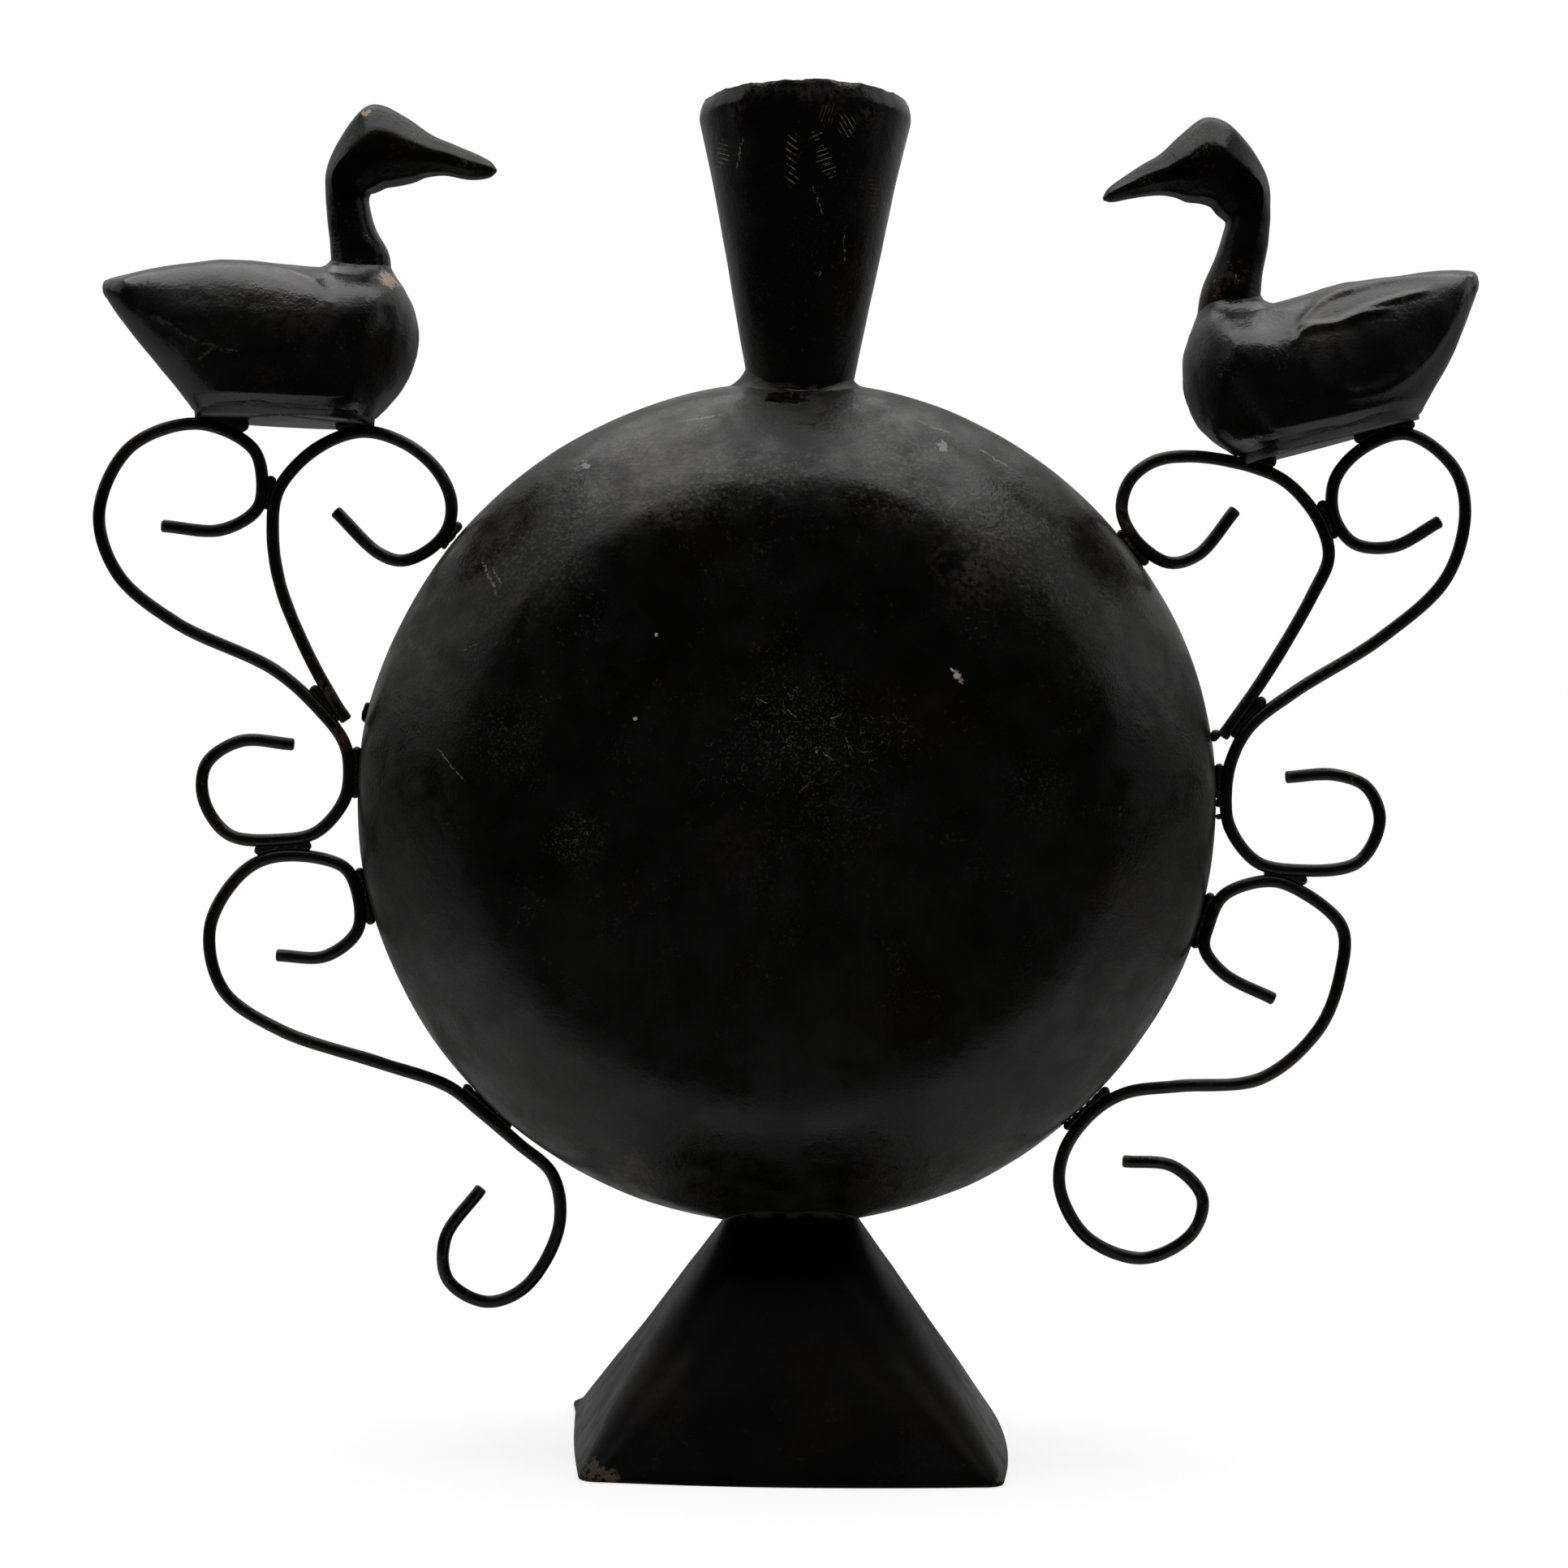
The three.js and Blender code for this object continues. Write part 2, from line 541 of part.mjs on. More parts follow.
// Stands a duck on two rods, facing from the rear stand to the front one, and settles it until its underside
// is just clear of both.
function duckGroup(duck) {
  const { side, rearStand, frontStand, rearInset, sections } = duck;
  const [tail, breast] = [sections[0][0], sections.at(-1)[0]];
  const facing = Math.sign(frontStand.x - rearStand.x);
  let pitch = Math.atan2(frontStand.z - rearStand.z, Math.abs(frontStand.x - rearStand.x));
  let lift = 0;
  const along = new THREE.Vector3();
  const upright = new THREE.Vector3();
  const origin = new THREE.Vector3();
  const place = () => {
    along.set(facing * Math.cos(pitch), 0, Math.sin(pitch));
    upright.set(-facing * Math.sin(pitch), 0, Math.cos(pitch));
    origin.copy(rearStand).addScaledVector(along, -rearInset).addScaledVector(upright, lift);
  };
  // Where a rod comes nearest to the duck, and how far the duck has to rise there.
  const nearest = (points) => {
    const found = { x: 0, rise: -Infinity };
    for (const point of points) {
      const offset = point.clone().sub(origin);
      const x = offset.dot(along);
      if (x < tail || x >= breast) continue;
      const rise = offset.dot(upright) - duckUnderside(sections, x) + ROD_RADIUS + ROD_SPACING;
      if (rise > found.rise) Object.assign(found, { x, rise });
    }
    return found;
  };
  const rearRod = scrollCurve(SCROLLS[`${side}_upper`]).getSpacedPoints(ROD_SAMPLES);
  const frontRod = scrollCurve(SCROLLS[`${side}_inner`]).getSpacedPoints(ROD_SAMPLES);
  for (let i = 0; i < SETTLING_STEPS; i += 1) {
    place();
    const rear = nearest(rearRod);
    const front = nearest(frontRod);
    lift += rear.rise;
    pitch += (front.rise - rear.rise) / (front.x - rear.x);
  }
  place();
  const group = new THREE.Group();
  group.position.copy(origin);
  group.rotation.y = -pitch * facing;
  group.scale.x = facing;
  group.updateMatrixWorld();
  group.add(...duckPieces(duck));
  return group;
}

const LEFT_DUCK = {
  side: "left",
  rearStand: LEFT_REAR_STAND,
  frontStand: LEFT_FRONT_STAND,
  rearInset: LEFT_REAR_INSET,
  headShift: LEFT_HEAD_SHIFT,
  sections: droppedSections(LEFT_BACK_DROP),
};
const RIGHT_DUCK = {
  side: "right",
  rearStand: RIGHT_REAR_STAND,
  frontStand: RIGHT_FRONT_STAND,
  rearInset: RIGHT_REAR_INSET,
  headShift: RIGHT_HEAD_SHIFT,
  sections: droppedSections(RIGHT_BACK_DROP),
};
const leftDuck = duckGroup(LEFT_DUCK);
const rightDuck = duckGroup(RIGHT_DUCK);

// The lower part of a duck in its place, as something that a rod can be welded to.
function duckUnderpart({ sections }, group) {
  return grownBothWays((grow) => {
    const lower = duckBody(sections, grow).intersect(duckSlice(sections, -grow, NECK_ROOT_LEVEL));
    return solidOf(geometryOf(lower).applyMatrix4(group.matrixWorld));
  });
}

// Welds

// The part of a weld that lies within its run of the given place.
function weldAt(place, a, b) {
  const run = new THREE.SphereGeometry(WELD_LENGTH / 2, WELD_SIDES, WELD_RINGS).translate(...place.toArray());
  return weldBetween(a, b).intersect(solidOf(run));
}

const leftUnderpart = duckUnderpart(LEFT_DUCK, leftDuck);
const rightUnderpart = duckUnderpart(RIGHT_DUCK, rightDuck);
const WELDS = {
  left_heart_weld: [LEFT_HEART.middle, rods.left_upper, rods.left_inner],
  left_fork_weld: [LEFT_FORK.middle, rods.left_upper, rods.left_inner],
  left_meeting_weld: [LEFT_MEETING.middle, rods.left_upper, rods.left_lower],
  left_duck_rear_weld: [LEFT_REAR_STAND, rods.left_upper, leftUnderpart],
  left_duck_front_weld: [LEFT_FRONT_STAND, rods.left_inner, leftUnderpart],
  left_inner_rim_weld: [at(LEFT_INNER_RIM, 0), rods.left_inner, body],
  left_upper_rim_weld: [at(LEFT_UPPER_RIM, 0), rods.left_upper, body],
  left_lower_rim_weld: [at(LEFT_LOWER_RIM, 0), rods.left_lower, body],
  left_low_rim_weld: [at(LEFT_LOW_RIM, 0), rods.left_lower, body],
  right_heart_weld: [RIGHT_HEART.middle, rods.right_upper, rods.right_inner],
  right_fork_weld: [RIGHT_FORK.middle, rods.right_upper, rods.right_inner],
  right_meeting_weld: [RIGHT_MEETING.middle, rods.right_upper, rods.right_lower],
  right_duck_rear_weld: [RIGHT_REAR_STAND, rods.right_upper, rightUnderpart],
  right_duck_front_weld: [RIGHT_FRONT_STAND, rods.right_inner, rightUnderpart],
  right_inner_rim_weld: [at(RIGHT_INNER_RIM, 0), rods.right_inner, body],
  right_inner_end_weld: [at(RIGHT_INNER_END_RIM, 0), rods.right_inner, body],
  right_upper_rim_weld: [at(RIGHT_UPPER_RIM, 0), rods.right_upper, body],
  right_lower_rim_weld: [at(RIGHT_LOWER_RIM, 0), rods.right_lower, body],
  right_low_rim_weld: [at(RIGHT_LOW_RIM, 0), rods.right_lower, body],
};

// What is left on the rim of a weld that has let go.
function brokenWeld() {
  const lump = new THREE.SphereGeometry(ROD_DIAMETER, WELD_SIDES, WELD_RINGS);
  lump.translate(...at(LEFT_BROKEN_RIM, 0).toArray());
  return solidOf(lump).intersect(body.bead).subtract(body.clear);
}

// The whole vase, lifted so that the foot stands on the floor
const assembly = new THREE.Group();
assembly.position.z = -FLOOR;
assembly.add(
  meshOf("body_front_shell", frontShell, BODY_PAINT),
  meshOf("body_rear_shell", rearShell, BODY_PAINT),
  meshOf("neck_tube", neck, NECK_PAINT),
  meshOf("neck_weld", weldBetween(neckSurface, body), WELD_PAINT),
  meshOf("foot_shell", foot, FOOT_PAINT),
  meshOf("foot_weld", weldBetween(footSurface, body), WELD_PAINT),
  meshOf("left_broken_weld", brokenWeld(), WELD_PAINT),
  leftDuck,
  rightDuck,
);
for (const [name, points] of Object.entries(SCROLLS)) {
  assembly.add(meshOf(`${name}_scroll`, rodSolid(points, 0), ROD_PAINT));
}
for (const [name, [place, a, b]] of Object.entries(WELDS)) {
  assembly.add(meshOf(name, weldAt(place, a, b), WELD_PAINT));
}

const vase = new THREE.Group();
vase.name = "metal_vase";
vase.add(assembly);

export default vase;
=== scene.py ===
# A free-standing flower vase of black-painted sheet steel and bent rod, with a duck on each side.
# Shapes are worked out in millimetres, with +X to the right, the front facing -Y and +Z up.

import functools
import math

import bmesh
import bpy
import numpy as np
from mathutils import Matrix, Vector, noise


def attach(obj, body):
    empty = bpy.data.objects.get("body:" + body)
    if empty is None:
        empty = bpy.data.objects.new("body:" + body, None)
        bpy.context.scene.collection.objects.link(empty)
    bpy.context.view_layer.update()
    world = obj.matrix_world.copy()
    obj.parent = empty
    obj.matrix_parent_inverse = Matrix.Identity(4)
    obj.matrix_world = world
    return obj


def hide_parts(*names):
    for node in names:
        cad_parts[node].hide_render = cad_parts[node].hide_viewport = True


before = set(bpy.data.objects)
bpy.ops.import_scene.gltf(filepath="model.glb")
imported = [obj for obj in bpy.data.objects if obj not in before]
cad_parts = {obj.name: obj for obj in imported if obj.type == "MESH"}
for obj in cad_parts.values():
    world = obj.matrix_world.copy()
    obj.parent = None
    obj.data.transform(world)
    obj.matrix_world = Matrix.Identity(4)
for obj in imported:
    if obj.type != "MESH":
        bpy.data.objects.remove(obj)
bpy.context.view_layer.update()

MM = 0.001
ASIDE, BACK, UP = np.eye(3)  # the directions of +X, +Y and +Z
SAME_PLACE = 1e-4  # points that are closer than this become one
SHARP_ANGLE = 38  # where the surface bends by more, in degrees, it has an edge

# Sheet, rod and welds
SHEET = 1.2
ROD_RADIUS = 1.6
ROD_SPACING = 0.9
WELD_REACH = 8.5  # how far a weld runs along a rod from its middle
ROD_WELD_FILL = 2.5  # the widest gap that weld metal fills between two rods
RIM_WELD_FILL = 2.3  # between a rod and the rim of the body
PLATE_WELD_FILL = 4.0  # between a rod and the plate under a duck
WELD_BITE = 0.4  # how far weld metal runs over what it joins
WELD_DEPTH = 1.5  # half the depth of weld metal from front to back

# Round body
BODY_WIDTH = 218.6
BODY_HEIGHT = 214.4
BODY_DEPTH = 84
BODY_WOBBLES = [  # bearing and half width in degrees, and height, of the bumps and hollows of the rim
    (76, 12, 0.5), (50, 16, -0.3), (112, 20, -0.9), (145, 20, -0.9), (215, 24, -0.4), (290, 16, -0.4),
    (322, 16, -0.5), (350, 16, -0.4),
]
BODY_COLUMNS = 240
SEAM = 0.1  # width of the joint between the halves
# The sheet from the middle of a face outwards: face, crease, sloping band and rim. Each has its length,
# how far the sheet has turned from the face at its end, in degrees, and its number of steps.
BODY_OUTLINE = [(70, 3, 30), (14, 36, 20), (33, 58, 24), (13.8, 90, 16)]

# Neck
NECK_HEIGHT = 71.5
NECK_BASE_DIAMETER = 27.3
NECK_MOUTH_DIAMETER = 53.4
NECK_OFFSET = 2
NECK_LEAN = 0.45  # how far the mouth is to the right of the root
NECK_BORE_DEPTH = 17
NECK_ROOT_LEVELS = (5, -12)  # between these the neck meets the body
NECK_COLUMNS = 160
NECK_ROWS = 40
RIM_ROWS = 14
RIM_TILT = 0.9  # how much higher the mouth is at the front than at its sides
RIM_DIP = 0.5  # how much lower still it is at its left and right ends
RIM_WAVES = [(1, 0.5), (3, 0.3), (9, 0.2)]  # how fine and how high the waves of its edge are
RIM_EDGE = [(0.05, 0.6), (0.4, 1)]  # how far the rounded edge drops, at shares of the sheet
CURL_HEIGHT = 4.5  # how far below the mouth the rim starts to turn inwards
CURL_DEPTH = 1.9
CURL_POWER = 1.6
MOUTH_FLARE = 1.5  # how far the mouth is bent out beyond a straight cone
FLARE_WAVE = 0.5  # how unevenly it is
SLIT_BEARING = -92  # where the weld round the root is open, from the right, anticlockwise from above
SLIT_HALF_WIDTH = 20
SLIT_HEIGHT = 0.8
GAP_CENTRE = (-1.2, -15.4)  # the ragged hole in the body in front of the slit
GAP_REACH = (5.4, 2.6)
GAP_WAVES = [(1, 0.35), (4, 0.3)]  # how fine and how strong its ragged edge is
GAP_LEVELS = (255, 275)
GAP_COLUMNS = 48
FILLET_SIZE = 0.7  # height of the weld round the root
FILLET_LEFT_EXTRA = 2.4
FILLET_RIGHT_EXTRA = 0.9
FILLET_SPREAD = 0.9  # how much wider than high it is at the left and right
FILLET_FRONT = 0.3  # its size at the front and rear, as a share
FILLET_OPEN = 0.95  # how much of it is missing at the slit
FILLET_LUMP = 0.25
FILLET_SINK = 0.35  # how far its lower edge lies in the body
FILLET_LIP = 0.1  # how far its corner is outside the neck; its upper edge is half as far inside
FILLET_ROOT = (0.9, 0.8)  # how far a weld's section reaches into what it joins
FILLET_STEPS = 6

# Foot
FOOT_HEIGHT = 56.4
FOOT_TOP_WIDTH = 35
FOOT_TOP_DEPTH = 34
FOOT_OFFSET = 2.5
FOOT_CORNERS = [(-49, -53), (54.8, -52.8), (58, 52), (-55.6, 52)]
FOOT_OUTWARDS = [(-1, -1), (1, -1), (1, 1), (-1, 1)]
# How round the four ridges are, and how far they swell, at shares of the height
FOOT_RIDGES = [(0, 5), (0.2, 11), (0.5, 18), (0.85, 17), (1, 12)]
FOOT_SWELLS = [(0, 0), (0.3, 0.9), (0.8, 1.0), (1, 0.4)]
FOOT_BULGES = (3, 2.2, 1.5, 0.6)  # of the front, right, rear and left sides at the floor
FOOT_EAR = (-55.6, 52, 0)  # the corner whose edge is bent outwards
FOOT_EAR_REACH = 8
FOOT_EAR_POWER = 1.5
FOOT_EAR_BEND = np.array([-2.4, 1.2, 2.6])
FOOT_HEM = 7
FOOT_WALL = 1.56
FOOT_ROUNDING = 1.6
FOOT_ROUNDING_ANGLES = (70, 50, 30, 10)
FOOT_OVERLAP = 6  # how far above its height the foot is looked for where it meets the body
FOOT_LEVELS = 140
FOOT_BEAD_RADIUS = 0.3
FOOT_BEAD_STEP = 0.8
FOOT_WELD_LUMPS = [(-15.4, -17, 59.6), (19.9, -17, 60)]
FOOT_LUMP_HEIGHT = 0.9
FOOT_LUMP_REACH = 2.5
BEAD_SIDES = 12
BEAD_WAVES = [(3.5, 0.35), (1.6, 0.21)]  # wavelength, and share of the bead's radius
RIDGE_STEPS = 10
SIDE_STEPS = 22
FOOT_ROWS = 30

# Dents: wavelength, depth and seed of the noise that moves the surface in and out
BODY_DENTS = [(70, 0.5, 1), (26, 0.3, 2), (11, 0.09, 3)]
NECK_DENTS = [(30, 0.3, 4), (9, 0.12, 5)]
NECK_WELD_DENTS = [(4, 0.14, 6), (1.6, 0.08, 10)]
FOOT_DENTS = [(40, 0.25, 7), (12, 0.03, 8)]
FOOT_BEAD_SEED = 9
ROD_SEED = 20
DUCK_DENTS = [(14, 0.25, 40), (5, 0.09, 42)]
HEAD_DENTS = [(12, 0.2, 44), (4, 0.08, 46)]
COLLAR_DENTS = [(5, 0.12, 48)]
WELD_DENTS = [(2.6, 0.14, 60), (1.1, 0.06, 61)]

# Levels
FLOOR = 0
BODY_CENTRE = FOOT_HEIGHT + BODY_HEIGHT / 2
BODY_TOP = FOOT_HEIGHT + BODY_HEIGHT


# Meshes

def rough(points, wavelength, seed):
    """Smooth noise from about -1 to 1 at each point."""
    offset = Vector((17.3 * seed, 5.1 * seed, 9.7 * seed))
    return np.array([noise.noise(Vector(point) / wavelength + offset) for point in points])


def waves_at(place, waves):
    """Waves of several sizes at a place: how fine and how high they are."""
    return sum(height * noise.noise(fine * place) for fine, height in waves)


def turns_of(count):
    """Evenly spread turns round a circle."""
    return 2 * math.pi * np.arange(count) / count


def mesh_through(rings, ends="filled"):
    """A mesh through rings of equally many points, with its ends filled in, left open or joined together."""
    rows, columns = rings.shape[:2]
    faces = []
    for row in range(rows if ends == "joined" else rows - 1):
        for column in range(columns):
            start, beside = row * columns, (column + 1) % columns
            above = (row + 1) % rows * columns
            faces.append((start + column, start + beside, above + beside, above + column))
    if ends == "filled":
        faces.append(tuple(range(columns)))
        faces.append(tuple((rows - 1) * columns + i for i in range(columns)))
    mesh = bpy.data.meshes.new("shape")
    mesh.from_pydata(rings.reshape(-1, 3).tolist(), [], faces)
    shape = bmesh.new()
    shape.from_mesh(mesh)
    bmesh.ops.remove_doubles(shape, verts=shape.verts, dist=SAME_PLACE)
    bmesh.ops.recalc_face_normals(shape, faces=shape.faces)
    shape.to_mesh(mesh)
    shape.free()
    return mesh


def coordinates(mesh):
    values = np.empty(3 * len(mesh.vertices))
    mesh.vertices.foreach_get("co", values)
    return values.reshape(-1, 3)


def set_coordinates(mesh, points):
    mesh.vertices.foreach_set("co", points.ravel())
    mesh.update()


def dent(mesh, layers, later=0):
    """Moves a mesh in and out by layers of noise, with seeds that are later by so much."""
    points = coordinates(mesh)
    normals = np.array([vertex.normal[:] for vertex in mesh.vertices])
    moved = points.copy()
    for wavelength, depth, seed in layers:
        moved += normals * (depth * rough(points, wavelength, seed + later))[:, None]
    set_coordinates(mesh, moved)


def linked(name, data):
    """A new object of the scene."""
    made = bpy.data.objects.new(name, data)
    bpy.context.scene.collection.objects.link(made)
    return made


def add_piece(name, mesh, material, nodes):
    """Puts a mesh in the scene, in metres, as the piece that stands for the given nodes."""
    set_coordinates(mesh, coordinates(mesh) * MM)
    mesh.shade_smooth()
    mesh.set_sharp_from_angle(angle=math.radians(SHARP_ANGLE))
    mesh.materials.clear()
    mesh.materials.append(material)
    piece = linked(name, mesh)
    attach(piece, "root")
    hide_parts(*nodes)


def applied(made):
    """The mesh that an object's modifiers give. The object itself is removed."""
    graph = bpy.context.evaluated_depsgraph_get()
    result = bpy.data.meshes.new_from_object(made.evaluated_get(graph))
    bpy.data.objects.remove(made)
    return result


def without(mesh, cutter):
    """A mesh with a hole where another one was."""
    made = linked("uncut", mesh)
    tool = linked("cutter", cutter)
    cut = made.modifiers.new("cut", "BOOLEAN")
    cut.object = tool
    cut.operation = "DIFFERENCE"
    cut.solver = "EXACT"
    result = applied(made)
    bpy.data.objects.remove(tool)
    return result


def between(t, start, start_slope, end, end_slope):
    """A smooth curve from a start at t = 0 to an end at t = 1."""
    return (
        (2 * t**3 - 3 * t**2 + 1) * start + (t**3 - 2 * t**2 + t) * start_slope
        + (3 * t**2 - 2 * t**3) * end + (t**3 - t**2) * end_slope
    )


def smooth_curve(points, step):
    """A centripetal Catmull-Rom curve through points, sampled about every step."""
    points = np.asarray(points)
    ends = [2 * points[0] - points[1], *points, 2 * points[-1] - points[-2]]
    samples = []
    for a, b, c, d in zip(ends, ends[1:], ends[2:], ends[3:]):
        ab, bc, cd = (math.sqrt(np.linalg.norm(q - p)) for p, q in ((a, b), (b, c), (c, d)))
        start_slope = bc * ((b - a) / ab - (c - a) / (ab + bc) + (c - b) / bc)
        end_slope = bc * ((c - b) / bc - (d - b) / (bc + cd) + (d - c) / cd)
        count = max(2, round(np.linalg.norm(c - b) / step))
        samples.extend(between(t, b, start_slope, c, end_slope) for t in np.arange(count) / count)
    samples.append(points[-1])
    return np.array(samples)


def through(table, positions):
    """Rows of a table, read smoothly at positions along its first column."""
    table = np.asarray(table, dtype=float)
    steps = np.diff(table[:, 0])
    slopes = np.gradient(table[:, 1:], table[:, 0], axis=0)
    index = np.clip(np.searchsorted(table[:, 0], positions, side="right") - 1, 0, len(steps) - 1)
    width = steps[index][:, None]
    t = (positions - table[index, 0])[:, None] / width
    low, high = table[index, 1:], table[index + 1, 1:]
    return between(t, low, width * slopes[index], high, width * slopes[index + 1])


def soft_step(value):
    value = np.clip(value, 0, 1)
    return value * value * (3 - 2 * value)


# Materials

def plain_colour(red, green, blue):
    """A colour given as it looks on screen, from 0 to 255."""
    return tuple(((value / 255 + 0.055) / 1.055) ** 2.4 for value in (red, green, blue)) + (1.0,)


BLACK = plain_colour(4, 4, 4)
OLIVE_BLACK = plain_colour(5, 5, 3)
BROWN = plain_colour(20, 14, 9)
DARK_RED = plain_colour(34, 19, 16)
GREY = plain_colour(25, 25, 24)
OLIVE = plain_colour(50, 48, 38)
PINKISH = plain_colour(62, 55, 52)
REDDISH = plain_colour(72, 52, 43)
TAN = plain_colour(64, 50, 34)
RUST_BROWN = plain_colour(60, 43, 33)
FADED_TAN = plain_colour(66, 54, 42)
RUST = plain_colour(84, 52, 33)
SCUFF = plain_colour(74, 73, 69)
WORN = plain_colour(84, 79, 70)
SCRATCH = plain_colour(128, 126, 118)
BARE = plain_colour(162, 139, 110)
PALE = plain_colour(196, 192, 180)
WHITE = (1, 1, 1, 1)


class Nodes:
    """The nodes of a material or of the world."""

    def __init__(self, owner):
        owner.use_nodes = True
        self.tree = owner.node_tree
        self.tree.nodes.clear()

    def add(self, kind, inputs=None, output=0, **settings):
        """Adds a node, links or sets its inputs, and gives one of its outputs."""
        node = self.tree.nodes.new("ShaderNode" + kind)
        for name, value in settings.items():
            setattr(node, name, value)
        for socket, value in (inputs or {}).items():
            if isinstance(value, bpy.types.NodeSocket):
                self.tree.links.new(value, node.inputs[socket])
            else:
                node.inputs[socket].default_value = value
        return node.outputs[output] if node.outputs else None

    def parts(self, vector):
        return self.add("SeparateXYZ", {"Vector": vector}).node.outputs

    def ramp(self, value, low, high, to_low=0.0, to_high=1.0, kind="SMOOTHSTEP"):
        inputs = {"Value": value, "From Min": low, "From Max": high, "To Min": to_low, "To Max": to_high}
        return self.add("MapRange", inputs, interpolation_type=kind)

    def math(self, operation, a, b=0.0):
        return self.add("Math", {0: a, 1: b}, operation=operation)

    def vector(self, operation, a, b, output="Vector"):
        return self.add("VectorMath", {0: a, 1: b}, output, operation=operation)


class Paint(Nodes):
    """Painted metal that is put together from layers. Places are in millimetres, seen from the front."""

    def __init__(self, name, colour):
        self.material = bpy.data.materials.new(name)
        super().__init__(self.material)
        self.colour = colour
        self.place = self.add("TexCoord", output="Object")
        parts = self.parts(self.place)
        self.depth, self.height = parts["Y"], parts["Z"]
        self.front = self.ramp(self.depth, -2 * MM, 0, 1.0, 0.0)
        self.seen = self.vector("MULTIPLY", self.place, (1, 0, 1))

    def product(self, *masks):
        return functools.reduce(lambda a, b: self.math("MULTIPLY", a, b), masks)

    def strongest(self, masks):
        """At each place the strongest of several masks."""
        return functools.reduce(lambda a, b: self.math("MAXIMUM", a, b), masks)

    def lay(self, layer, share, *masks):
        """Lays a colour over the paint where all the masks are."""
        inputs = {0: self.product(*masks, share), 6: self.colour, 7: layer}  # 6 and 7 take colours
        self.colour = self.add("Mix", inputs, 2, data_type="RGBA")

    def cloud(self, size, detail=3.0, shift=0.0, stretch=1.0):
        """Noise whose patches are about so many millimetres wide, and higher by the stretch."""
        scale = 1 / (size * MM)
        inputs = {0: self.place, 1: (scale, scale, scale / stretch), 2: (shift, shift, shift)}
        place = self.add("VectorMath", inputs, operation="MULTIPLY_ADD")
        return self.add("TexNoise", {"Vector": place, "Scale": 1.0, "Detail": detail, "Roughness": 0.55})

    def patches(self, size, low, high, detail=3.0, shift=0.0, stretch=1.0):
        return self.ramp(self.cloud(size, detail, shift, stretch), low, high)

    def wander(self, size, reach, shift=0.0):
        """A value that wanders as far as the reach to both sides of 0."""
        return self.ramp(self.cloud(size, shift=shift), 0.3, 0.7, -reach, reach)

    def away(self, x, z):
        """Distance from a place."""
        return self.vector("DISTANCE", self.seen, (x * MM, 0, z * MM), "Value")

    def measure(self, x, z, slope):
        """How far beyond a place, in millimetres, along a slope in degrees."""
        angle = math.radians(slope)
        offset = self.vector("SUBTRACT", self.seen, (x * MM, 0, z * MM))
        return self.vector("DOT_PRODUCT", offset, (math.cos(angle) / MM, 0, math.sin(angle) / MM), "Value")

    def near(self, value, half):
        """Where a value is within so much of 0."""
        return self.ramp(self.math("ABSOLUTE", value), 0.7 * half, 1.1 * half, 1.0, 0.0)

    def glow(self, x, z, radius, share=1.0):
        """A soft round patch on the front that fades out at its radius."""
        fade = self.ramp(self.away(x, z), 0.1 * radius * MM, radius * MM, share, 0.0)
        return self.product(fade, self.front)

    def glows(self, places):
        return self.strongest(self.glow(*place) for place in places)

    def spots(self, places, grain=1.4):
        """Ragged spots on the front, each given by its place and radius."""
        wander = self.wander(grain, 0.6)
        return self.product(self.strongest(self.spot(wander, *place) for place in places), self.front)

    def spot(self, wander, x, z, radius):
        edge = self.math("ADD", self.away(x, z), self.math("MULTIPLY", wander, radius * MM))
        return self.ramp(edge, 0.7 * radius * MM, 1.1 * radius * MM, 1.0, 0.0)

    def scratches(self, lines, grain=0.9, low=0.42):
        """Broken scratches on the front, each given by its two ends and its width."""
        wander = self.wander(2.5, 0.3, shift=17.1)
        broken = self.patches(grain, low, low + 0.1, shift=18.2)
        lines = self.strongest(self.scratch(wander, *line) for line in lines)
        return self.product(lines, broken, self.front)

    def scratch(self, wander, start, end, width):
        x, z = (start[0] + end[0]) / 2, (start[1] + end[1]) / 2
        slope = math.degrees(math.atan2(end[1] - start[1], end[0] - start[0]))
        along = self.near(self.measure(x, z, slope), math.dist(start, end) / 2)
        across = self.near(self.math("ADD", self.measure(x, z, slope + 90), wander), width / 2)
        return self.product(along, across)

    def hatches(self, columns):
        """Columns of short parallel scratches on the front."""
        wander = self.wander(2.2, 0.7, shift=19.3)
        broken = self.patches(1.4, 0.36, 0.5, shift=20.4)
        strokes = self.strongest(self.hatch(wander, *column) for column in columns)
        return self.product(strokes, broken, self.front)

    def hatch(self, wander, x, z, width, height, slope, spacing):
        stroke = self.math("PINGPONG", self.measure(x, z, slope + 90), spacing / 2)
        strokes = self.ramp(stroke, 0.06 * spacing, 0.17 * spacing, 1.0, 0.0)
        beside = self.near(self.math("ADD", self.measure(x, z, 0), wander), width / 2)
        upright = self.near(self.math("ADD", self.measure(x, z, 90), wander), height / 2)
        return self.product(strokes, beside, upright)

    def hairs(self, size, shift):
        """Fine curved scratches: broken level lines of a cloud."""
        line = self.near(self.math("SUBTRACT", self.cloud(size, 2, shift), 0.5), 0.006)
        return self.product(line, self.patches(1.6, 0.5, 0.58, shift=shift + 1))

    def finish(self, roughness, height, depth, shine):
        normal = self.add("Bump", {"Height": height, "Distance": depth * MM, "Strength": 1.0})
        inputs = {"Base Color": self.colour, "Roughness": roughness, "Normal": normal}
        surface = self.add("BsdfPrincipled", {**inputs, "Specular IOR Level": shine})
        self.add("OutputMaterial", {"Surface": surface})
        return self.material


